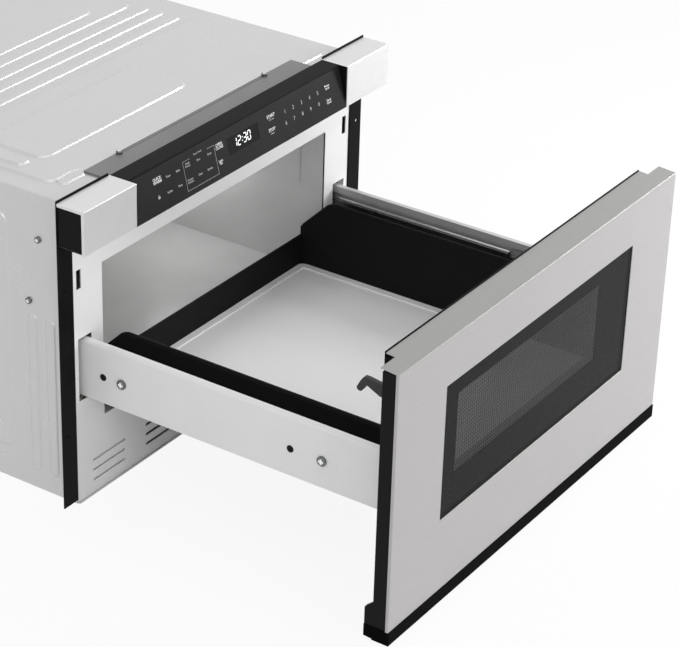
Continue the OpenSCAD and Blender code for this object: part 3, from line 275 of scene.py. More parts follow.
# Low and high shade and roughness of each finish, then what its kind of surface takes besides
finishes = {
    "caseSteel": coatedSheet("zincCoatedSteelSheet", "D3D3D3", "D5D5D5", 0.27, 1.5, 0.4),
    "frameWhite": coatedSheet("whiteBakedEnamelSheet", "F4F4F4", "F5F5F5", 0.38, 1.2),
    "armPaint": coatedSheet("paleGreyPowderCoat", "EEEEEE", "F0F0F0", 0.42, 1.0),
    # painted shade: the right arm's pale grey sheet, painted darker than the left one
    "armPaintShaded": coatedSheet("paleGreyArmSteelShaded", "C6C6C6", "CCCCCC", 0.42, 1.0, 0.3),
    "cavityEnamel": coatedSheet("greyOvenEnamel", "CFCFCF", "D4D4D4", 0.35, 2.0),
    "bracketGrey": coatedSheet("greyPhosphatedSteel", "787878", "7E7E7E", 0.4, 1.2, 0.3),
    # black paint, and painted shade on the caps' inner faces
    "blackPaintAndShade": coatedSheet("blackPowderCoatAndShade", "111111", "141414", 0.5, 0.9, 0.0, 1.12),
    # painted light: pale grey for blackened steel, for lamp light that the glass keeps from the screen
    "screenSteelLit": coatedSheet("perforatedSteelPaintedLight", "B8B8B8", "BEBEBE", 0.5, 0.9, 0.0, 1.2),
    "stainless": brushedStainless("brushedStainlessDoor", "B1AFAF", "B7B5B5", 0.42, (0.02, 1, 1), 0.25),
    # painted shade: the door's stainless, darker where its top edge looks up
    "deckSteelShaded": brushedStainless("brushedStainlessDeckShaded", "9A9A98", "A2A2A0", 0.42, (0.02, 1, 1), 0.35),
    "capSteel": brushedStainless("brushedStainlessCaps", "E0E0E0", "E6E6E6", 0.36, (1, 1, 0.02), 0.35),
    # painted highlight: a bright finish laid on edges that catch the light
    "paintedEdgeHighlight": plainMetal("paintedHighlightStainless", "F6F6F6", "FAFAFA", 0.3),
    "zincSteel": plainMetal("brightZincPlate", "A4A6A8", "B2B4B6", 0.3),
    # painted shade: zinc darkened for the screw domes
    "screwZincShaded": plainMetal("zincPlatedScrewsShaded", "66686A", "767879", 0.3),
    # painted highlight on the screws' crosses
    "screwCrossHighlight": plainMetal("paintedHighlightScrewCross", "E6E6E6", "F0F0F0", 0.25),
    "slideSteel": plainMetal("zincPlatedSlideRail", "747576", "808182", 0.36),
    "aluminium": plainMetal("plainAluminium", "BFC0C2", "CDCED0", 0.38),
    "brass": plainMetal("rolledBrass", "B5963F", "C4A550", 0.3),
    "tubBlack": mouldedPlastic("blackMouldedPbt", "1B1B1B", "1F1F1F", 0.45, 0.9, 0.02, 1.1),
    # black plastic, and painted shade in the arm holes
    "trimBlackAndShade": mouldedPlastic("blackMouldedAbsAndShade", "1C1C1C", "202020", 0.45, 0.9, 0.02, 1.12),
    # painted shade: the bottom trim's black plastic, darker than the side trims'
    "valanceBlackShaded": mouldedPlastic("blackMouldedValanceShaded", "090909", "0C0C0C", 0.5, 0.9, 0.02, 1.06),
    "housingBlack": mouldedPlastic("charcoalMouldedAbs", "181818", "1C1C1C", 0.45, 0.9, 0.02, 1.12),
    "hookNylon": mouldedPlastic("greyGlassFilledNylon", "2C2C2C", "323232", 0.4, 0.9, 0.02, 1.35),
    "nylon": mouldedPlastic("naturalNylon", "DAD8D0", "E2E0D8", 0.45),
    "mica": mouldedPlastic("micaSheet", "BDB8AA", "CAC5B7", 0.5, 3.0),
    "board": mouldedPlastic("glassEpoxyBoard", "0C3D20", "14502C", 0.4, 2.0),
    "windings": mouldedPlastic("varnishedLaminations", "2A2220", "3A302C", 0.5, 2.5),
    "lampCeramic": mouldedPlastic("steatiteCeramic", "D8D2C4", "E2DCCE", 0.4),
    "touchGlass": glossySheet("darkPrintedTouchGlass", "2A2A2B", "2D2D2E", 0.3, 0.0, 1.14),
    "displayGlass": glossySheet("smokedDisplayGlass", "1A1A1A", "1D1D1D", 0.12, 0.0, 1.2),
    "plate": glossySheet("whiteGlassCeramic", "FAFAFA", "FBFBFB", 0.35, 0.1),
    "doorPrint": glossySheet("blackCeramicPrint", "101010", "131313", 0.4, 0.0, 1.1),
    # print, deepened to near-black as painted shade of the gap at the glass's edge
    "edgePrintAndShade": glossySheet("blackEdgePrintAndGapShade", "030303", "040404", 0.5, 0.0, 1.02),
    "doorGlass": tintedGlass(),
    "whitePrint": mouldedPlastic("whiteScreenPrint", "F0F0F0", "F6F6F6", 0.5, 0.6, 0.01),
    "greyPrint": mouldedPlastic("greyScreenPrint", "BCBCBC", "C2C2C2", 0.5, 0.6, 0.01, 1.2),
    "digits": glowingPrint("litDisplaySegments", "F2F4F6", 0.9),
}
print("materials made:", len(finishes))

# Finish of every CAD node, whether it shows as it is or lends its finish to the piece that stands for it
finishOfNode = {
    "caseSteel": ["base_pan", "outer_case", "back_panel"],
    "frameWhite": ["front_frame"],
    "blackPaintAndShade": ["flange_left", "flange_right", "door_choke_frame"],
    "bracketGrey": ["top_bracket"],
    "screwZincShaded": ["case_screws", "arm_screws"],
    "zincSteel": ["waveguide", "stirrer_motor", "fan_motor", "slide_brackets",
                  "gear_brackets", "drive_motor", "drive_shaft"],
    "slideSteel": ["slide_cabinet_left", "slide_cabinet_right", "slide_middle_left", "slide_middle_right",
                   "slide_drawer_members"],
    "cavityEnamel": ["cavity_liner"],
    "mica": ["stirrer_cover"],
    "aluminium": ["magnetron", "hv_capacitor", "mode_stirrer"],
    "windings": ["hv_transformer"],
    "trimBlackAndShade": ["fan_housing", "drive_gearbox", "interlock_switches", "cord_inlet", "door_side_trims"],
    "valanceBlackShaded": ["door_bottom_trim"],
    "hookNylon": ["latch_hook_left", "latch_hook_right"],
    "housingBlack": ["control_housing"],
    "touchGlass": ["touch_panel"],
    "displayGlass": ["display_window"],
    "board": ["control_board"],
    "stainless": ["door_skin"],
    "capSteel": ["end_cap_left", "end_cap_right"],
    "lampCeramic": ["oven_lamp"],
    "nylon": ["fan_rotor", "shaft_gears", "idler_gear_left", "idler_gear_right", "drive_racks"],
    "brass": ["outer_ball_cages", "inner_ball_cages"],
    "doorGlass": ["door_glass"],
    "screenSteelLit": ["door_screen"],
    "tubBlack": ["tub_wall_left", "tub_wall_right", "tub_rear_wall", "tub_floor"],
    "plate": ["ceramic_plate"],
    "armPaint": ["arm_left"],
    "armPaintShaded": ["arm_right"],
}
for finishName, members in finishOfNode.items():
    for member in members:
        nodes[member].data.materials.clear()
        nodes[member].data.materials.append(finishes[finishName])


def repaint(piece, material, chosen):
    # the faces that the test chooses take a further finish
    piece.data.materials.append(material)
    for polygon in piece.data.polygons:
        if chosen(polygon):
            polygon.material_index = len(piece.data.materials) - 1


# The middle slide members' rolled top edges take a painted highlight: faces that look up, above a height
slideEdgeHighlights = {"lookUp": 0.3, "above": 0.19}
for member in ("slide_middle_left", "slide_middle_right"):
    repaint(nodes[member], finishes["paintedEdgeHighlight"], lambda polygon:
            polygon.normal.z > slideEdgeHighlights["lookUp"] and polygon.center.z > slideEdgeHighlights["above"])
print("nodes with a finish:", sum(len(members) for members in finishOfNode.values()))


# Bodies of the record, to find what a node's stand-in rides on
bodyOfNode = {node: body for body, members in behaviour["bodies"].items() for node in members}


# Folded and moulded parts: the CAD shape with its edges rounded over
softEdges = {
    # radius of the rounding in millimetres, and its steps
    "top_bracket": (0.5, 2),
    "control_housing": (0.8, 3), "end_cap_left": (0.9, 3), "end_cap_right": (0.9, 3),
    "door_skin": (0.5, 3), "door_side_trims": (0.8, 3), "door_bottom_trim": (0.8, 3),
    "door_choke_frame": (0.5, 2), "tub_floor": (0.5, 2),
    "latch_hook_left": (0.8, 3), "latch_hook_right": (0.8, 3),
}
softLooks = {
    "crease": math.radians(32),  # edges sharper than this are rounded
    # the deck's faces take the painted shade
    "deckLook": 0.6,  # the door's deck looks up by more than this
    # inner faces that take black as painted shade
    "insideLook": 0.9, "insideFrom": 0.2995,  # inner faces of a cap's side plate, and where that plate begins
    # rounded edges that take a painted highlight
    "squareLook": 0.96,  # a cap's face that is less square to every axis than this is a rounded edge
    "bracketRise": 0.0014,  # how far the bracket's top stands over the pressed field that it lies on
}


def softened(node, radius, steps):
    source = nodes[node]
    piece = bpy.data.objects.new(node + "_soft", source.data.copy())
    bpy.context.scene.collection.objects.link(piece)
    weld = piece.modifiers.new("weld", "WELD")
    weld.merge_threshold = 0.002 * mm
    bevel = piece.modifiers.new("bevel", "BEVEL")
    bevel.width = radius * mm
    bevel.segments = steps
    bevel.limit_method = "ANGLE"
    bevel.angle_limit = softLooks["crease"]
    bevel.use_clamp_overlap = False
    bakeModifiers(piece)
    piece.data.shade_smooth()
    smooth = piece.modifiers.new("weighted", "WEIGHTED_NORMAL")
    smooth.keep_sharp = True
    bakeModifiers(piece)
    return finish(piece, source.data.materials[0], bodyOfNode[node], [node])


def dressDoor(piece):
    # the turned-back top edge is the door's own stainless, painted darker as painted shade
    repaint(piece, finishes["deckSteelShaded"], lambda polygon: polygon.normal.z > softLooks["deckLook"])


def dressCap(piece, hand):
    # the inside of the cap's folded sheet, seen under the housing where it lies in the dark, is painted black
    # as painted shade; the rounded edges take a bright finish as a painted highlight
    repaint(piece, finishes["blackPaintAndShade"], lambda polygon: polygon.normal.x * hand < -softLooks["insideLook"]
            and abs(polygon.center.x) > softLooks["insideFrom"])
    repaint(piece, finishes["paintedEdgeHighlight"], lambda polygon:
            max(abs(part) for part in polygon.normal) < softLooks["squareLook"])


def raiseTop(piece, node):
    low, high = boxOf(node)
    for vert in piece.data.vertices:
        if vert.co.z > (low[2] + high[2]) / 2:
            vert.co.z += softLooks["bracketRise"]


for node, (radius, steps) in softEdges.items():
    soft = softened(node, radius, steps)
    if node == "door_skin":
        dressDoor(soft)
    elif node == "top_bracket":
        raiseTop(soft, node)
    elif node.startswith("end_cap"):
        dressCap(soft, -1 if node.endswith("left") else 1)
print("softened parts:", len(softEdges))


# Outer case: one folded sheet with its fields and beads pressed up

caseSheet = 0.0012  # thickness of its steel
caseSkin = {
    # outside of the flat sheet: it lies on the front frame, under the bracket, and ends with the base pan
    "halfWidth": boxOf("front_frame")[1][0] + caseSheet, "height": boxOf("top_bracket")[0][2],
    "depth": boxOf("base_pan")[1][1], "sheet": caseSheet, "bend": 0.0022, "bendSteps": 6,
    "rise": 0.0021,  # how far the pressed fields stand up
    "slope": 0.0030, "slopeSteps": 5,  # width of the pressed wall between two levels
    "margin": 0.0008,  # flat ring beyond each end of that wall
    "cornerRadius": 0.016, "frontRadius": 0.0128, "beadWidth": 0.013, "beadRadius": 0.00637,
    # corners on the top, in metres from the front edge's middle: right, back
    "frontField": [(-0.2002, 0.022), (0.2552, 0.022), (0.2552, 0.2209), (-0.2502, 0.2209), (-0.2502, 0.0522),
                   (-0.2002, 0.0522)],
    "frontPads": [(-0.209, 0.095, 0.066, 0.184), (-0.238, 0.105, -0.219, 0.18)],
    "rearField": (-0.233, 0.314, 0.233, 0.522),
    "rearPad": (-0.181, 0.336, 0.181, 0.498),
    "beads": [(-0.236, 0.243, 0.236, 0.243), (-0.236, 0.27, 0.236, 0.27), (-0.236, 0.294, 0.236, 0.294),
              (-0.244, 0.0426, -0.204, 0.0426)],
    # corners on a side: back, up
    "sideField": (0.0932, 0.044, 0.5228, 0.3528),
    "sideBeads": [(0.033, 0.026, 0.033, 0.2334), (0.0594, 0.026, 0.0594, 0.2334)],
}


def beadCorners(ends, width):
    x0, y0, x1, y1 = ends
    if y0 == y1:
        return cornersOf((x0, y0 - width / 2, x1, y0 + width / 2))
    return cornersOf((x0 - width / 2, y0, x0 + width / 2, y1))


def inside(point, ring):
    within = False
    for a, b in zip(ring, ring[1:] + ring[:1]):
        if (a.y > point.y) != (b.y > point.y):
            if point.x < a.x + (point.y - a.y) / (b.y - a.y) * (b.x - a.x):
                within = not within
    return within


def pressedSheet(outline, features, settings):
    # verts and faces of a flat sheet with raised features; a feature is (loop, pads raised again on it)
    verts, faces = [], []
    steps, nearness = settings["slopeSteps"], 0.0001 * mm

    def addLoop(loop, grow, level):
        start = len(verts)
        verts.extend((*(point + normal * grow), level) for point, normal in loop)
        return list(range(start, len(verts)))

    def fill(outer, holes):
        # triangles over the flat region inside one ring and outside the others
        rings = [[Vector(verts[i][:2]) for i in ring] for ring in [outer] + holes]
        points, edges = [], []
        for ring in rings:
            first = len(points)
            points += ring
            edges += [(first + i, first + (i + 1) % len(ring)) for i in range(len(ring))]
        made = delaunay_2d_cdt(points, edges, [], 0, nearness)
        start, level = len(verts), verts[outer[0]][2]
        verts.extend((*point, level) for point in made[0])
        for triangle in made[2]:
            middle = sum((made[0][i] for i in triangle), Vector((0, 0))) / 3
            if inside(middle, rings[0]) and not any(inside(middle, ring) for ring in rings[1:]):
                faces.append([start + i for i in triangle])

    def wall(loop, low, high):
        # rings from the foot of the pressed wall to its rim, with a flat ring beyond each end, so that the
        # rounding doesn't shade the large flat regions
        reach, margin = settings["slope"] / 2, settings["margin"]
        rings = [addLoop(loop, reach + margin, low)]
        for step in range(steps + 1):
            t = step / steps
            ease = t * t * (3 - 2 * t)
            rings.append(addLoop(loop, reach * (1 - 2 * t), low + (high - low) * ease))
        rings.append(addLoop(loop, -reach - margin, high))
        for below, above in zip(rings, rings[1:]):
            for i in range(len(below)):
                j = (i + 1) % len(below)
                faces.append([below[i], below[j], above[j], above[i]])
        return rings[0], rings[-1]

    edge = [len(verts) + i for i in range(len(outline))]
    verts.extend((*point, 0) for point in outline)
    feet = []
    for loop, pads in features:
        foot, rim = wall(loop, 0, settings["rise"])
        feet.append(foot)
        padFeet = []
        for pad in pads:
            padFoot, padRim = wall(pad, settings["rise"], settings["rise"] * 2)
            padFeet.append(padFoot)
            fill(padRim, [])
        fill(rim, padFeet)
    fill(edge, feet)
    return verts, faces


def buildCase(settings):
    r, w, h, d = settings["bend"], settings["halfWidth"], settings["height"], settings["depth"]
    radius, bead, beadRadius = settings["cornerRadius"], settings["beadWidth"], settings["beadRadius"]
    top = [(roundedLoop(settings["frontField"], settings["frontRadius"]),
            [roundedLoop(cornersOf(settings["frontPads"][0]), radius),
             roundedLoop(cornersOf(settings["frontPads"][1]), beadRadius)]),
           (roundedLoop(cornersOf(settings["rearField"]), radius),
            [roundedLoop(cornersOf(settings["rearPad"]), radius)])]
    top += [(roundedLoop(beadCorners(ends, bead), beadRadius), []) for ends in settings["beads"]]
    topVerts, topFaces = pressedSheet(cornersOf((-w + r, 0, w - r, d)), top, settings)
    verts = [(x, y, h + z) for x, y, z in topVerts]
    faces = list(topFaces)
    side = [(roundedLoop(cornersOf(settings["sideField"]), radius), [])]
    side += [(roundedLoop(beadCorners(ends, bead), beadRadius), []) for ends in settings["sideBeads"]]
    sideVerts, sideFaces = pressedSheet(cornersOf((0, 0, d, h - r)), side, settings)
    for hand in (1, -1):
        start = len(verts)
        verts.extend((hand * (w + z), x, y) for x, y, z in sideVerts)
        faces.extend([start + i for i in (face if hand == 1 else face[::-1])] for face in sideFaces)
    # the rounded fold between the top and each side
    for hand in (1, -1):
        arc = []
        for step in range(settings["bendSteps"] + 1):
            t = step / settings["bendSteps"] * math.pi / 2
            x, z = hand * (w - r + r * math.sin(t)), h - r + r * math.cos(t)
            arc.append((len(verts), len(verts) + 1))
            verts.extend([(x, 0, z), (x, d, z)])
        for (a, b), (c, e) in zip(arc, arc[1:]):
            faces.append([a, b, e, c][::-hand])
    piece = meshPiece("case_skin", verts, faces)
    weld = piece.modifiers.new("weld", "WELD")
    weld.merge_threshold = 0.02 * mm
    wall = piece.modifiers.new("wall", "SOLIDIFY")
    wall.thickness = settings["sheet"]
    wall.offset = -1
    smooth = piece.modifiers.new("weighted", "WEIGHTED_NORMAL")
    smooth.keep_sharp = True
    return bakeModifiers(piece)


finish(buildCase(caseSkin), finishes["caseSteel"], "cabinet", ["outer_case"])
print("case pressed")


# Screws: darkened domes with a bright cross, painted shade and highlight, set on points by Geometry Nodes

screwHeads = {
    "headHeight": 0.0021, "sides": 28,
    "dome": [(0.28, 0.86), (0.16, 0.7)],  # steps of the dome: rise as a share of the height, then narrowing
    "crossReach": 1.1, "crossLifts": (0.46, 0.47),  # shares of the head's radius and height
    "crossFrom": 1.45, "crossLook": 0.9,  # its faces lie above this many heights and look out by this much
    "caseSide": [(0.0475, 0.332), (0.064, 0.25)],  # back, up
    "bracket": (0.143, 0.038),  # out, back
    "arm": (0.26, 0.172), "armBacks": [0.0793, 0.3543],  # out and up, then places along the arm
}
# radius of the heads, width of their cross, place and outward direction of each
screwSets = {
    "cabinet": (0.004, 0.0018, [
        ((hand * caseSkin["halfWidth"], back, up), (hand, 0, 0))
        for hand in (-1, 1) for back, up in screwHeads["caseSide"]] + [
        ((hand * screwHeads["bracket"][0], screwHeads["bracket"][1],
          boxOf("top_bracket")[1][2] + softLooks["bracketRise"]), (0, 0, 1)) for hand in (-1, 1)]),
    "drawer": (0.006, 0.0026, [
        ((hand * screwHeads["arm"][0], back - travel, screwHeads["arm"][1]), (hand, 0, 0))
        for hand in (-1, 1) for back in screwHeads["armBacks"]]),
}


def screwTree():
    tree, given = geometryTree("screwHeadsOnPoints", ("Head Radius", "Head Height", "Cross Width"))
    radius, height, crossWidth = given["Head Radius"], given["Head Height"], given["Cross Width"]

    def times(value, factor):
        return addNode(tree, "ShaderNodeMath", {"operation": "MULTIPLY", 1: factor}, {0: value}).outputs[0]

    def vector(parts):
        return addNode(tree, "ShaderNodeCombineXYZ", {}, parts).outputs[0]

    # the head: a short cylinder whose top is drawn in twice for its dome
    head = addNode(tree, "GeometryNodeMeshCylinder", {"Vertices": screwHeads["sides"]},
                   {"Radius": radius, "Depth": height})
    shape, top = head.outputs["Mesh"], head.outputs["Top"]
    for rise, share in screwHeads["dome"]:
        pulled = addNode(tree, "GeometryNodeExtrudeMesh", {"mode": "FACES", "Individual": False},
                         {"Mesh": shape, "Selection": top, "Offset Scale": times(height, rise)})
        scaled = addNode(tree, "GeometryNodeScaleElements", {"domain": "FACE", "Scale": share},
                         {"Geometry": pulled.outputs["Mesh"], "Selection": pulled.outputs["Top"]})
        shape, top = scaled.outputs[0], pulled.outputs["Top"]
    # the cross: two bars that pass through each other, a little apart in height
    joined = addNode(tree, "GeometryNodeJoinGeometry")
    tree.links.new(shape, joined.inputs[0])
    reach = times(radius, screwHeads["crossReach"])
    for long, wide, lift in zip((reach, crossWidth), (crossWidth, reach), screwHeads["crossLifts"]):
        bar = addNode(tree, "GeometryNodeMeshCube", {}, {"Size": vector({"X": long, "Y": wide, "Z": height})})
        lifted = addNode(tree, "GeometryNodeTransform", {}, {
            "Geometry": bar.outputs["Mesh"], "Translation": vector({"Z": times(height, lift)})})
        tree.links.new(lifted.outputs[0], joined.inputs[0])
    seated = addNode(tree, "GeometryNodeTransform", {}, {
        "Geometry": joined.outputs[0], "Translation": vector({"Z": times(height, 0.5)})})
    facing = addNode(tree, "GeometryNodeInputNamedAttribute", {
        "data_type": "FLOAT_VECTOR", "Name": "facing"})
    turn = addNode(tree, "FunctionNodeAlignRotationToVector", {"axis": "Z"},
                   {"Vector": facing.outputs["Attribute"]})
    placed = addNode(tree, "GeometryNodeInstanceOnPoints", {}, {
        "Points": given["Geometry"], "Instance": seated.outputs[0], "Rotation": turn.outputs[0]})
    endTree(tree, placed.outputs[0], given["Material"])
    return tree


def paintCrossHighlight(piece, places):
    # the cross on each head takes a painted highlight against the dome's painted shade
    def onCross(polygon):
        place, direction = min(places, key=lambda item: (Vector(item[0]) - polygon.center).length)
        above = (polygon.center - Vector(place)).dot(Vector(direction))
        return (polygon.normal.dot(Vector(direction)) > screwHeads["crossLook"]
                and above > screwHeads["crossFrom"] * screwHeads["headHeight"])

    repaint(piece, finishes["screwCrossHighlight"], onCross)


def placeScrews(name, body, node, tree):
    radius, crossWidth, places = screwSets[body]
    piece = meshPiece(name, [place for place, direction in places], [], smooth=False)
    facing = piece.data.attributes.new("facing", "FLOAT_VECTOR", "POINT")
    for i, (place, direction) in enumerate(places):
        facing.data[i].vector = direction
    addTree(piece, tree, {"Head Radius": radius, "Head Height": screwHeads["headHeight"],
                          "Cross Width": crossWidth, "Material": finishes["screwZincShaded"]})
    bakeModifiers(piece)
    finish(piece, finishes["screwZincShaded"], body, [node])
    paintCrossHighlight(piece, places)


screwHeadTree = screwTree()
placeScrews("case_screw_heads", "cabinet", "case_screws", screwHeadTree)
placeScrews("arm_screw_heads", "drawer", "arm_screws", screwHeadTree)
print("screws set")


# Door window: print and painted shade round the clear field of the glass, and the perforated screen behind it

doorWindow = {
    "face": boxOf("door_skin")[0][1], "screenFace": boxOf("door_screen")[0][1],
    # width, height and middle of the glass's print and shade ring, of its clear field and of the screen's
    # holed field
    "outer": (0.420, 0.176, 0.197), "clear": (0.404, 0.160, 0.197), "holed": (0.315, 0.101, 0.1955),
    "corner": 0.004, "pitch": 0.0045, "openShare": 0.7, "sheet": 0.0006,
    "edgeRingBehind": 0.0048, "edgeRingThick": 0.0003, "surroundAhead": 0.0016,
}


def fieldLoop(settings, field):
    wide, high, middle = settings[field]
    box = (-wide / 2, middle - high / 2, wide / 2, middle + high / 2)
    return [point for point, normal in roundedLoop(cornersOf(box), settings["corner"])]


def windowRing(name, settings, opening, front, thick):
    # a thin upright plate nearly as large as the glass, with an opening: both faces and the edges
    outer, inner = fieldLoop(settings, "outer"), fieldLoop(settings, opening)
    verts = [(point.x, y, point.y) for y in (front, front + thick) for point in outer + inner]
    faces = []
    n = len(outer)
    for i in range(n):
        j = (i + 1) % n
        faces.append([i, j, n + j, n + i])
        faces.append([2 * n + i, 3 * n + i, 3 * n + j, 2 * n + j])
        faces.append([i, 2 * n + i, 2 * n + j, j])
        faces.append([n + i, n + j, 3 * n + j, 3 * n + i])
    return meshPiece(name, verts, faces, smooth=False)


def screenTree():
    tree, given = geometryTree("perforatedSheet", ("Width", "Height", "Pitch", "Open Share"), ("Place",))

    def count(length):
        cells = addNode(tree, "ShaderNodeMath", {"operation": "DIVIDE"}, {0: length, 1: given["Pitch"]})
        return addNode(tree, "ShaderNodeMath", {"operation": "ADD", 1: 1.0}, {0: cells.outputs[0]}).outputs[0]

    grid = addNode(tree, "GeometryNodeMeshGrid", {}, {
        "Size X": given["Width"], "Size Y": given["Height"],
        "Vertices X": count(given["Width"]), "Vertices Y": count(given["Height"])})
    # each cell of the grid is drawn in to its hole, and the holes are taken out
    cells = addNode(tree, "GeometryNodeExtrudeMesh", {
        "mode": "FACES", "Individual": True, "Offset Scale": 0.0}, {"Mesh": grid.outputs["Mesh"]})
    drawn = addNode(tree, "GeometryNodeScaleElements", {"domain": "FACE"}, {
        "Geometry": cells.outputs["Mesh"], "Selection": cells.outputs["Top"], "Scale": given["Open Share"]})
    holed = addNode(tree, "GeometryNodeDeleteGeometry", {"domain": "FACE", "mode": "ALL"}, {
        "Geometry": drawn.outputs[0], "Selection": cells.outputs["Top"]})
    joined = addNode(tree, "GeometryNodeMergeByDistance", {"Distance": 0.01 * mm},
                     {"Geometry": holed.outputs[0]})
    stood = addNode(tree, "GeometryNodeTransform", {"Rotation": (math.pi / 2, 0, 0)}, {
        "Geometry": joined.outputs[0], "Translation": given["Place"]})
    endTree(tree, stood.outputs[0], given["Material"])
    return tree


def buildScreen(settings):
    piece = meshPiece("window_screen", [(0, 0, 0)], [], smooth=False)
    wide, high, middle = settings["holed"]
    addTree(piece, screenTree(), {
        "Width": wide, "Height": high, "Pitch": settings["pitch"], "Open Share": settings["openShare"],
        "Place": (0, settings["screenFace"], middle), "Material": finishes["screenSteelLit"]})
    wall = piece.modifiers.new("wall", "SOLIDIFY")
    wall.thickness = settings["sheet"]
    return bakeModifiers(piece)


edgeRingFront = doorWindow["face"] + doorWindow["edgeRingBehind"]
# the near-black ring: print, and painted shade of the gap at the glass's edge
finish(windowRing("window_print_and_shade", doorWindow, "clear", edgeRingFront, doorWindow["edgeRingThick"]),
       finishes["edgePrintAndShade"], "drawer")
surroundFront = doorWindow["screenFace"] - doorWindow["surroundAhead"]
finish(windowRing("window_surround", doorWindow, "holed", surroundFront, doorWindow["sheet"]),
       finishes["doorPrint"], "drawer")
finish(buildScreen(doorWindow), finishes["screenSteelLit"], "drawer", ["door_screen"])
print("window built")


# Flat plates, the stuff of small trims, beads and print

def plateMesh(corners, rise):
    # a flat plate that rises to both sides of its plane, its corners turning left
    n = len(corners)
    verts = [(x, y, z) for z in (-rise, rise) for x, y in corners]
    faces = [list(range(n))[::-1], [n + i for i in range(n)]]
    faces += [[i, (i + 1) % n, n + (i + 1) % n, n + i] for i in range(n)]
    mesh = bpy.data.meshes.new("plate")
    mesh.from_pydata(verts, [], faces)
    return mesh


def joinPlates(name, parts):
    # parts are (mesh, matrix); the result is one plain mesh in the object's frame
    verts, faces = [], []
    for mesh, matrix in parts:
        start = len(verts)
        verts += [tuple(matrix @ v.co) for v in mesh.vertices]
        faces += [[start + i for i in polygon.vertices] for polygon in mesh.polygons]
    return meshPiece(name, verts, faces, smooth=False)


def onSide(x, y=0):
    # a plate drawn in (back, up) stands upright across the object's x
    return Matrix(((0, 0, 1, x), (1, 0, 0, y), (0, 1, 0, 0), (0, 0, 0, 1)))


# Dark discs in the open holes of the drawer arms: painted shade where the holes show dark
holeShades = {
    "radius": 0.0044, "sides": 24, "halfThick": 0.0003,
    "out": 0.2601, "up": 0.172, "backs": [0.1213, 0.3813],  # backs are for the shut drawer
}


def buildHoleShades(settings):
    turns = [2 * math.pi * i / settings["sides"] for i in range(settings["sides"])]
    radius, up = settings["radius"], settings["up"]
    disc = [(radius * math.cos(turn), up + radius * math.sin(turn)) for turn in turns]
    plate = plateMesh(disc, settings["halfThick"])
    return joinPlates("arm_hole_shades", [(plate, onSide(hand * settings["out"], back - travel))
                                         for hand in (-1, 1) for back in settings["backs"]])


# White baffles behind the outer vents of the front frame
baffles = {"out": 0.2186, "wide": 0.072, "low": 0.011, "high": 0.052, "back": 0.0026, "halfThick": 0.0003}


def buildBaffles(settings):
    side = settings["wide"] / 2
    plate = plateMesh(cornersOf((-side, settings["low"], side, settings["high"])), settings["halfThick"])
    return joinPlates("vent_baffles", [
        (plate, Matrix.Translation((hand * settings["out"], settings["back"], 0))
         @ Matrix.Rotation(math.pi / 2, 4, "X")) for hand in (-1, 1)])


# Side walls of the tub: the rear corner is rounded where it slants off, and the rolled rim follows it
tubWalls = {
    "front": boxOf("tub_wall_left")[0][1], "rear": boxOf("tub_wall_left")[1][1],
    "low": boxOf("tub_wall_left")[0][2], "top": 0.2082, "slant": 0.045, "round": 0.022, "steps": 8,
    "out": 0.21075, "halfThick": 0.00125,
    # the roll is a tube: radius, how far its middle lies in from the wall's edge, sides, and how much it ends
    # short of the wall
    "roll": 0.0024, "rollIn": 0.0015, "rollSides": 14, "rollShort": 0.004,
}


def rimPath(settings, inset=0.0, short=0.0):
    # along the top edge, round the corner and down the slant, drawn in by the inset, cut short at its end
    reach, slant = settings["round"], math.radians(45)
    centre = Vector((settings["rear"] - settings["slant"] - reach * math.tan(slant / 2),
                     settings["top"] - reach))
    points = [Vector((settings["front"], settings["top"] - inset))]
    for step in range(settings["steps"] + 1):
        turn = math.pi / 2 - slant * step / settings["steps"]
        points.append(centre + Vector((math.cos(turn), math.sin(turn))) * (reach - inset))
    end = Vector((settings["rear"], settings["top"] - settings["slant"]))
    points.append(end + Vector((-inset - short, -inset + short)) * math.cos(slant))
    return points


def tubeMesh(points, radius, sides):
    verts, faces = [], []
    for i, point in enumerate(points):
        ahead = (points[min(i + 1, len(points) - 1)] - points[max(i - 1, 0)]).normalized()
        for k in range(sides):
            turn = 2 * math.pi * k / sides
            swing = radius * math.cos(turn)
            verts.append((point.x - ahead.y * swing, point.y + ahead.x * swing, radius * math.sin(turn)))
    for i in range(len(points) - 1):
        for k in range(sides):
            a, b = i * sides + k, i * sides + (k + 1) % sides
            faces.append([a, b, b + sides, a + sides])
    faces += [list(range(sides))[::-1], [(len(points) - 1) * sides + k for k in range(sides)]]
    mesh = bpy.data.meshes.new("tube")
    mesh.from_pydata(verts, [], faces)
    return mesh


def buildTubWall(settings, node, hand):
    outline = [(settings["front"], settings["low"]), (settings["rear"], settings["low"])]
    outline += [tuple(point) for point in reversed(rimPath(settings))]
    roll = tubeMesh(rimPath(settings, settings["rollIn"], settings["rollShort"]),
                    settings["roll"], settings["rollSides"])
    place = onSide(hand * settings["out"])
    return joinPlates(node + "_rounded", [(plateMesh(outline, settings["halfThick"]), place), (roll, place)])


# Upright beads pressed in the cavity's side walls, and the dark seam between liner and front frame
cavitySides = {
    "out": 0.225, "beadHalf": 0.0034, "beadRound": 0.00306, "beadLow": 0.2155, "beadHigh": 0.272,
    "beadRise": 0.0009, "firstBead": 0.041, "beadPitch": 0.055, "beads": 6,
    "seam": (0.0006, 0.1, 0.0022, 0.294), "seamRise": 0.0003,  # corners of the seam: back, up
}


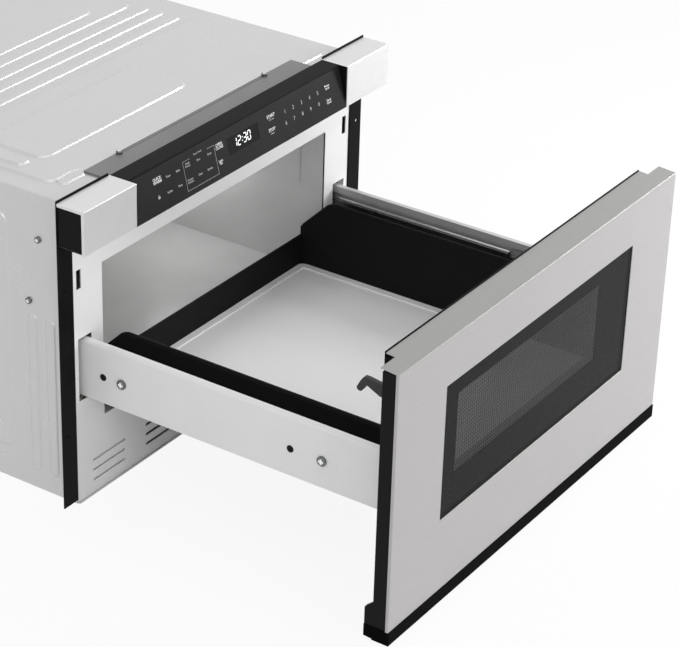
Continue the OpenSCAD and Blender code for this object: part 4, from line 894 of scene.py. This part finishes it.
def buildBeads(settings):
    half, parts = settings["beadHalf"], []
    for hand in (-1, 1):
        for i in range(settings["beads"]):
            back = settings["firstBead"] + settings["beadPitch"] * i
            box = (back - half, settings["beadLow"], back + half, settings["beadHigh"])
            outline = [tuple(point) for point, normal in roundedLoop(cornersOf(box), settings["beadRound"])]
            parts.append((plateMesh(outline, settings["beadRise"]), onSide(hand * settings["out"])))
    return joinPlates("cavity_beads", parts)


def buildSeams(settings):
    plate = plateMesh(cornersOf(settings["seam"]), settings["seamRise"])
    return joinPlates("mouth_seams", [(plate, onSide(hand * settings["out"])) for hand in (-1, 1)])


# The closed ends of the door's bottom trim, down to the foot of each side trim
trimEnds = {
    "out": 0.301, "halfThick": 0.0017,
    # back and up, with the drawer shut
    "corners": [(-0.0407, 0.003), (-0.0084, 0.005), (-0.0084, 0.02), (-0.0407, 0.02)],
}


def buildTrimEnds(settings):
    plate = plateMesh(settings["corners"], settings["halfThick"])
    places = [onSide(hand * settings["out"], -travel) for hand in (-1, 1)]
    return joinPlates("bottom_trim_ends", [(plate, place) for place in places])


# the dark discs in the arm holes are painted shade
finish(buildHoleShades(holeShades), finishes["trimBlackAndShade"], "drawer")
finish(buildBaffles(baffles), finishes["frameWhite"], "cabinet")
for hand, node in ((-1, "tub_wall_left"), (1, "tub_wall_right")):
    finish(buildTubWall(tubWalls, node, hand), finishes["tubBlack"], "drawer", [node])
finish(buildBeads(cavitySides), finishes["cavityEnamel"], "cabinet")
finish(buildSeams(cavitySides), finishes["blackPaintAndShade"], "cabinet")
finish(buildTrimEnds(trimEnds), finishes["valanceBlackShaded"], "drawer")
print("tub walls, beads and small trims made")


# Legends on the touch panel and the figures in its display

panelFace = {"out": 0.040, "low": 0.3466, "lean": math.radians(13.985)}
legends = {
    "rise": 0.00006, "scale": 1.1, "lineSpacing": 0.82, "boldShare": 0.006, "curveSteps": 3,
    # text, right, up the face, size of the letters in metres, weight
    "figures": [(str((i + 1) % 10), x, s, 0.0062, 0) for i, (x, s) in enumerate(
        [(0.0885, 0.0354), (0.1053, 0.0354), (0.123, 0.0354), (0.1403, 0.0354), (0.1576, 0.0354),
         (0.087, 0.0215), (0.1041, 0.0215), (0.1216, 0.0215), (0.139, 0.0215), (0.1564, 0.0215)])],
    "words": [
        ("START", 0.0600, 0.0395, 0.0050, 2), ("+30 sec", 0.0600, 0.0352, 0.0032, 0),
        ("STOP", 0.0578, 0.0230, 0.0050, 2), ("Clear", 0.0578, 0.0186, 0.0032, 0),
        ("Power\nLevel", 0.1784, 0.0365, 0.0036, 2), ("Timer\nClock", 0.1773, 0.0188, 0.0036, 2),
        ("OPEN\nCLOSE", -0.0439, 0.0382, 0.0044, 2), ("Light\nFan", -0.0459, 0.0189, 0.0036, 2),
        ("Auto Cook", -0.0840, 0.0443, 0.0030, 0),
        ("Fresh\nRoots", -0.1049, 0.0368, 0.0034, 1), ("Rice", -0.0846, 0.0358, 0.0034, 1),
        ("Soup", -0.0637, 0.0358, 0.0034, 1), ("Frozen\nGreens", -0.1049, 0.0175, 0.0034, 1),
        ("Oats", -0.0859, 0.0186, 0.0034, 1), ("Drinks", -0.0671, 0.0185, 0.0034, 1),
        ("QUICK\nWARM", -0.1613, 0.0380, 0.0044, 2), ("Thaw", -0.1418, 0.0361, 0.0034, 1),
        ("Melt", -0.1236, 0.0361, 0.0034, 1), ("Soften", -0.1435, 0.0184, 0.0034, 1),
        ("Plate", -0.1243, 0.0185, 0.0034, 1)],
    # frame round the quick keys, its top line open in the middle: corners, width and length of a line
    "box": (-0.113, 0.007, -0.053, 0.0425), "line": 0.00035, "cornerLine": 0.0135,
    "padlock": (-0.1635, 0.0188, 0.0042),
}
# the padlock in shares of its size: corners of its body, the shackle's foot, middle and half width
padlockShares = {
    "body": (-0.4, -0.5, 0.4, 0.1), "foot": 0.1, "middle": 0.2, "out": 0.3, "steps": 8,
    "hollow": (0.62, 0.75),  # width and height of the shackle's inside, in shares of its outside
}
display = {
    "text": "12:30", "middle": (0.0001, 0.0318), "height": 0.0105, "advance": 0.0082, "bar": 0.00125,
    "slant": 0.12, "sunk": 0.0003,
    # shares of the advance: width of a figure, width of a colon; shares of the height: its dots
    "figureShare": 0.66, "colonShare": 0.36, "dotShares": (0.3, 0.7),
    # gap at each end of a bar as a share of its width, and the cut of its tips as a share of half its width
    "gapShare": 0.62, "cutShare": 0.4,
}
segmentsOf = {"1": "bc", "2": "abged", "3": "abgcd", "0": "abcdef"}


def onFace(x, s, lift=0.0):
    # a matrix that stands a flat thing on the sloped face, x to the right and s up the face
    foot = Matrix.Translation((0, -panelFace["out"], panelFace["low"]))
    face = foot @ Matrix.Rotation(-panelFace["lean"], 4, "X")
    return face @ Matrix.Translation((x, -lift, s)) @ Matrix.Rotation(math.pi / 2, 4, "X")


def textMesh(text, size, weight):
    curve = bpy.data.curves.new("legend", "FONT")
    curve.body = text
    curve.size = size * legends["scale"]
    curve.align_x, curve.align_y = "CENTER", "CENTER"
    curve.space_line = legends["lineSpacing"]
    curve.offset = size * legends["boldShare"] * weight
    curve.resolution_u = legends["curveSteps"]
    curve.extrude = legends["rise"]
    holder = bpy.data.objects.new("legend", curve)
    bpy.context.scene.collection.objects.link(holder)
    graph = bpy.context.evaluated_depsgraph_get()
    mesh = bpy.data.meshes.new_from_object(holder.evaluated_get(graph))
    bpy.data.objects.remove(holder)
    return mesh


def boxLines(box, line, corner):
    x0, y0, x1, y1 = box
    edges = [(x0, y0, x1, y0 + line), (x0, y0, x0 + line, y1), (x1 - line, y0, x1, y1),
             (x0, y1 - line, x0 + corner, y1), (x1 - corner, y1 - line, x1, y1)]
    return [plateMesh(cornersOf(edge), legends["rise"]) for edge in edges]


def padlock(x, s, size):
    shares, rise = padlockShares, legends["rise"]
    left, low, right, high = (share * size for share in shares["body"])
    foot, out = s + size * shares["foot"], size * shares["out"]
    shackle = [(x + out, foot)]
    for step in range(shares["steps"] + 1):
        t = step / shares["steps"] * math.pi
        shackle.append((x + math.cos(t) * out, s + size * shares["middle"] + math.sin(t) * out))
    shackle.append((x - out, foot))
    acrossShare, upShare = shares["hollow"]
    hollow = [(x + (px - x) * acrossShare, foot + (py - foot) * upShare) for px, py in shackle]
    parts = [plateMesh(cornersOf((x + left, s + low, x + right, s + high)), rise)]
    for i in range(len(shackle) - 1):
        parts.append(plateMesh([shackle[i], shackle[i + 1], hollow[i + 1], hollow[i]], rise))
    return parts


def lyingBar(x0, x1, y, half, gap, cut):
    return [(x0 + gap - cut, y), (x0 + gap + cut, y - half), (x1 - gap - cut, y - half),
            (x1 - gap + cut, y), (x1 - gap - cut, y + half), (x0 + gap + cut, y + half)]


def standingBar(x, y0, y1, half, gap, cut):
    return [(x, y0 + gap - cut), (x + half, y0 + gap + cut), (x + half, y1 - gap - cut),
            (x, y1 - gap + cut), (x - half, y1 - gap - cut), (x - half, y0 + gap + cut)]


def digitBars(settings):
    # seven-segment figures, slanted, with a colon of two dots
    high, wide = settings["height"], settings["advance"] * settings["figureShare"]
    thick = settings["bar"]
    half, gap = thick / 2, thick * settings["gapShare"]
    cut = half * settings["cutShare"]
    places = {"a": (0, high, wide, high), "g": (0, high / 2, wide, high / 2), "d": (0, 0, wide, 0),
              "f": (0, high / 2, 0, high), "e": (0, 0, 0, high / 2), "b": (wide, high / 2, wide, high),
              "c": (wide, 0, wide, high / 2)}
    bars, x = [], 0
    for sign in settings["text"]:
        if sign == ":":
            bars += [cornersOf((x, high * share - half, x + thick, high * share + half))
                     for share in settings["dotShares"]]
            x += settings["advance"] * settings["colonShare"]
            continue
        for segment in segmentsOf[sign]:
            x0, y0, x1, y1 = places[segment]
            if y0 == y1:
                bars.append(lyingBar(x + x0, x + x1, y0, half, gap, cut))
            else:
                bars.append(standingBar(x + x0, y0, y1, half, gap, cut))
        x += settings["advance"]
    middle = (x - settings["advance"] + wide) / 2
    return [[(px - middle + (py - high / 2) * settings["slant"], py - high / 2) for px, py in bar]
            for bar in bars]


def buildLegends():
    # the large words are printed white, the small ones and the figures grey
    flat = onFace(0, 0, legends["rise"])
    lines = boxLines(legends["box"], legends["line"], legends["cornerLine"])
    white, grey = [], [(mesh, flat) for mesh in lines]
    for text, x, s, size, weight in legends["figures"] + legends["words"]:
        shade = white if weight > 1 else grey
        shade.append((textMesh(text, size, weight), onFace(x, s, legends["rise"])))
    grey += [(mesh, flat) for mesh in padlock(*legends["padlock"])]
    return joinPlates("panel_legends", white), joinPlates("panel_figures", grey)


def buildFigures(settings):
    rise = legends["rise"]
    place = onFace(*settings["middle"], rise - settings["sunk"])
    return joinPlates("display_figures", [(plateMesh(bar, rise), place) for bar in digitBars(settings)])


panelLegends, panelFigures = buildLegends()
finish(panelLegends, finishes["whitePrint"], "cabinet")
finish(panelFigures, finishes["greyPrint"], "cabinet")
finish(buildFigures(display), finishes["digits"], "cabinet")
print("legends set")


# Studio: pale floor and world, soft lamps, the camera at the photograph's angle

studio = {
    "floorTones": ("F2F2F2", "F4F4F4"), "floorHalf": 6.0, "floorDrop": 0.0005, "worldLight": 0.47,
    "shadowShare": 0.09,
    # lamp: place, target, size in metres, power in watts; the bulb has no target
    "lamps": {
        "softTop": ((0.1, -0.2, 3.0), (0, 0, 0.2), 2.2, 11),
        "keyRight": ((1.9, -0.6, 1.75), (0.0, 0.1, 0.3), 0.4, 8),
        "softRight": ((1.3, -1.0, 0.65), (0.2, -0.4, 0.2), 0.5, 14),
        "softLeft": ((-1.35, -0.7, 1.3), (-0.25, -0.1, 0.2), 0.8, 5),
        "softFront": ((-0.6, -3.0, 0.35), (-0.15, -0.1, 0.15), 1.4, 10),
        "softLow": ((-0.95, -2.2, 0.25), (-0.2, 0.0, 0.12), 0.5, 4),
        "ovenBulb": ((0.16, 0.20, 0.245), None, 0.02, 0.27),
    },
}
photoView = {
    "azimuth": -55.499, "elevation": 28.563, "roll": 1.166, "place": (-2.1776, -1.5971, 1.5933),
    "focalPixels": 2499.72, "centrePixels": (286.298, 321.731), "framePixels": (679, 647), "sensor": 36.0,
    "farClip": 50,
}


def whiteForCamera(tree, lit):
    # white to the camera, to reflections and through glass; lit is what lights the object
    path = addNode(tree, "ShaderNodeLightPath").outputs
    seen = path["Is Camera Ray"]
    for ray in ("Is Glossy Ray", "Is Transmission Ray"):
        seen = addNode(tree, "ShaderNodeMath", {"operation": "MAXIMUM"}, {0: seen, 1: path[ray]}).outputs[0]
    white = addNode(tree, "ShaderNodeBackground" if tree is bpy.context.scene.world.node_tree
                    else "ShaderNodeEmission", {"Color": linear("FFFFFF"), "Strength": 1.0})
    return addNode(tree, "ShaderNodeMixShader", {}, {0: seen, 1: lit, 2: white.outputs[0]}).outputs[0]


def buildWorld():
    world = bpy.data.worlds.new("softStudio")
    bpy.context.scene.world = world
    world.use_nodes = True
    tree = world.node_tree
    tree.nodes.clear()
    light = addNode(tree, "ShaderNodeBackground", {
        "Color": linear("FFFFFF"), "Strength": studio["worldLight"]})
    addNode(tree, "ShaderNodeOutputWorld", {}, {"Surface": whiteForCamera(tree, light.outputs[0])})


def buildFloor():
    # paper that shows nearly white, with the object's shadow left faint on it
    half = studio["floorHalf"]
    corners = [(x, y, -studio["floorDrop"]) for x, y in cornersOf((-half, -half, half, half))]
    floor = meshPiece("studio_floor", corners, [[0, 1, 2, 3]], smooth=False)
    material, tree, shader, place = newMaterial("palePaperFloor", {"Roughness": 0.9})
    twoTone(tree, shader, grain(tree, place, 30), *studio["floorTones"])
    output = next(node for node in tree.nodes if node.type == "OUTPUT_MATERIAL")
    shown = whiteForCamera(tree, shader.outputs[0])
    thin = addNode(tree, "ShaderNodeMixShader", {0: studio["shadowShare"]}, {1: shown, 2: shader.outputs[0]})
    tree.links.new(thin.outputs[0], output.inputs["Surface"])
    floor.data.materials.append(material)


def buildLamps():
    for name, (place, target, size, power) in studio["lamps"].items():
        lamp = bpy.data.lights.new(name, "AREA" if target else "POINT")
        lamp.energy = power
        holder = bpy.data.objects.new(name, lamp)
        holder.location = place
        if target:
            lamp.shape = "SQUARE"
            lamp.size = size
            holder.rotation_euler = (Vector(place) - Vector(target)).to_track_quat("Z", "Y").to_euler()
        else:
            lamp.shadow_soft_size = size
        bpy.context.scene.collection.objects.link(holder)


def buildCamera():
    a, e, r = (math.radians(photoView[name]) for name in ("azimuth", "elevation", "roll"))
    back = Vector((math.sin(a) * math.cos(e), -math.cos(a) * math.cos(e), math.sin(e)))
    right = Vector((0, 0, 1)).cross(back).normalized()
    up = back.cross(right)
    level = Matrix((right, up, back)).transposed().to_4x4()
    camera = bpy.data.cameras.new("photoCamera")
    wide, high = photoView["framePixels"]
    camera.sensor_fit = "HORIZONTAL"
    camera.sensor_width = photoView["sensor"]
    camera.lens = photoView["focalPixels"] * photoView["sensor"] / wide
    camera.shift_x = (wide / 2 - photoView["centrePixels"][0]) / wide
    camera.shift_y = (photoView["centrePixels"][1] - high / 2) / wide
    camera.clip_end = photoView["farClip"]
    holder = bpy.data.objects.new("photoCamera", camera)
    holder.matrix_world = Matrix.Translation(photoView["place"]) @ level @ Matrix.Rotation(r, 4, "Z")
    bpy.context.scene.collection.objects.link(holder)
    bpy.context.scene.camera = holder


buildWorld()
buildFloor()
buildLamps()
buildCamera()
bpy.context.scene.view_settings.view_transform = "Standard"
print("studio set")
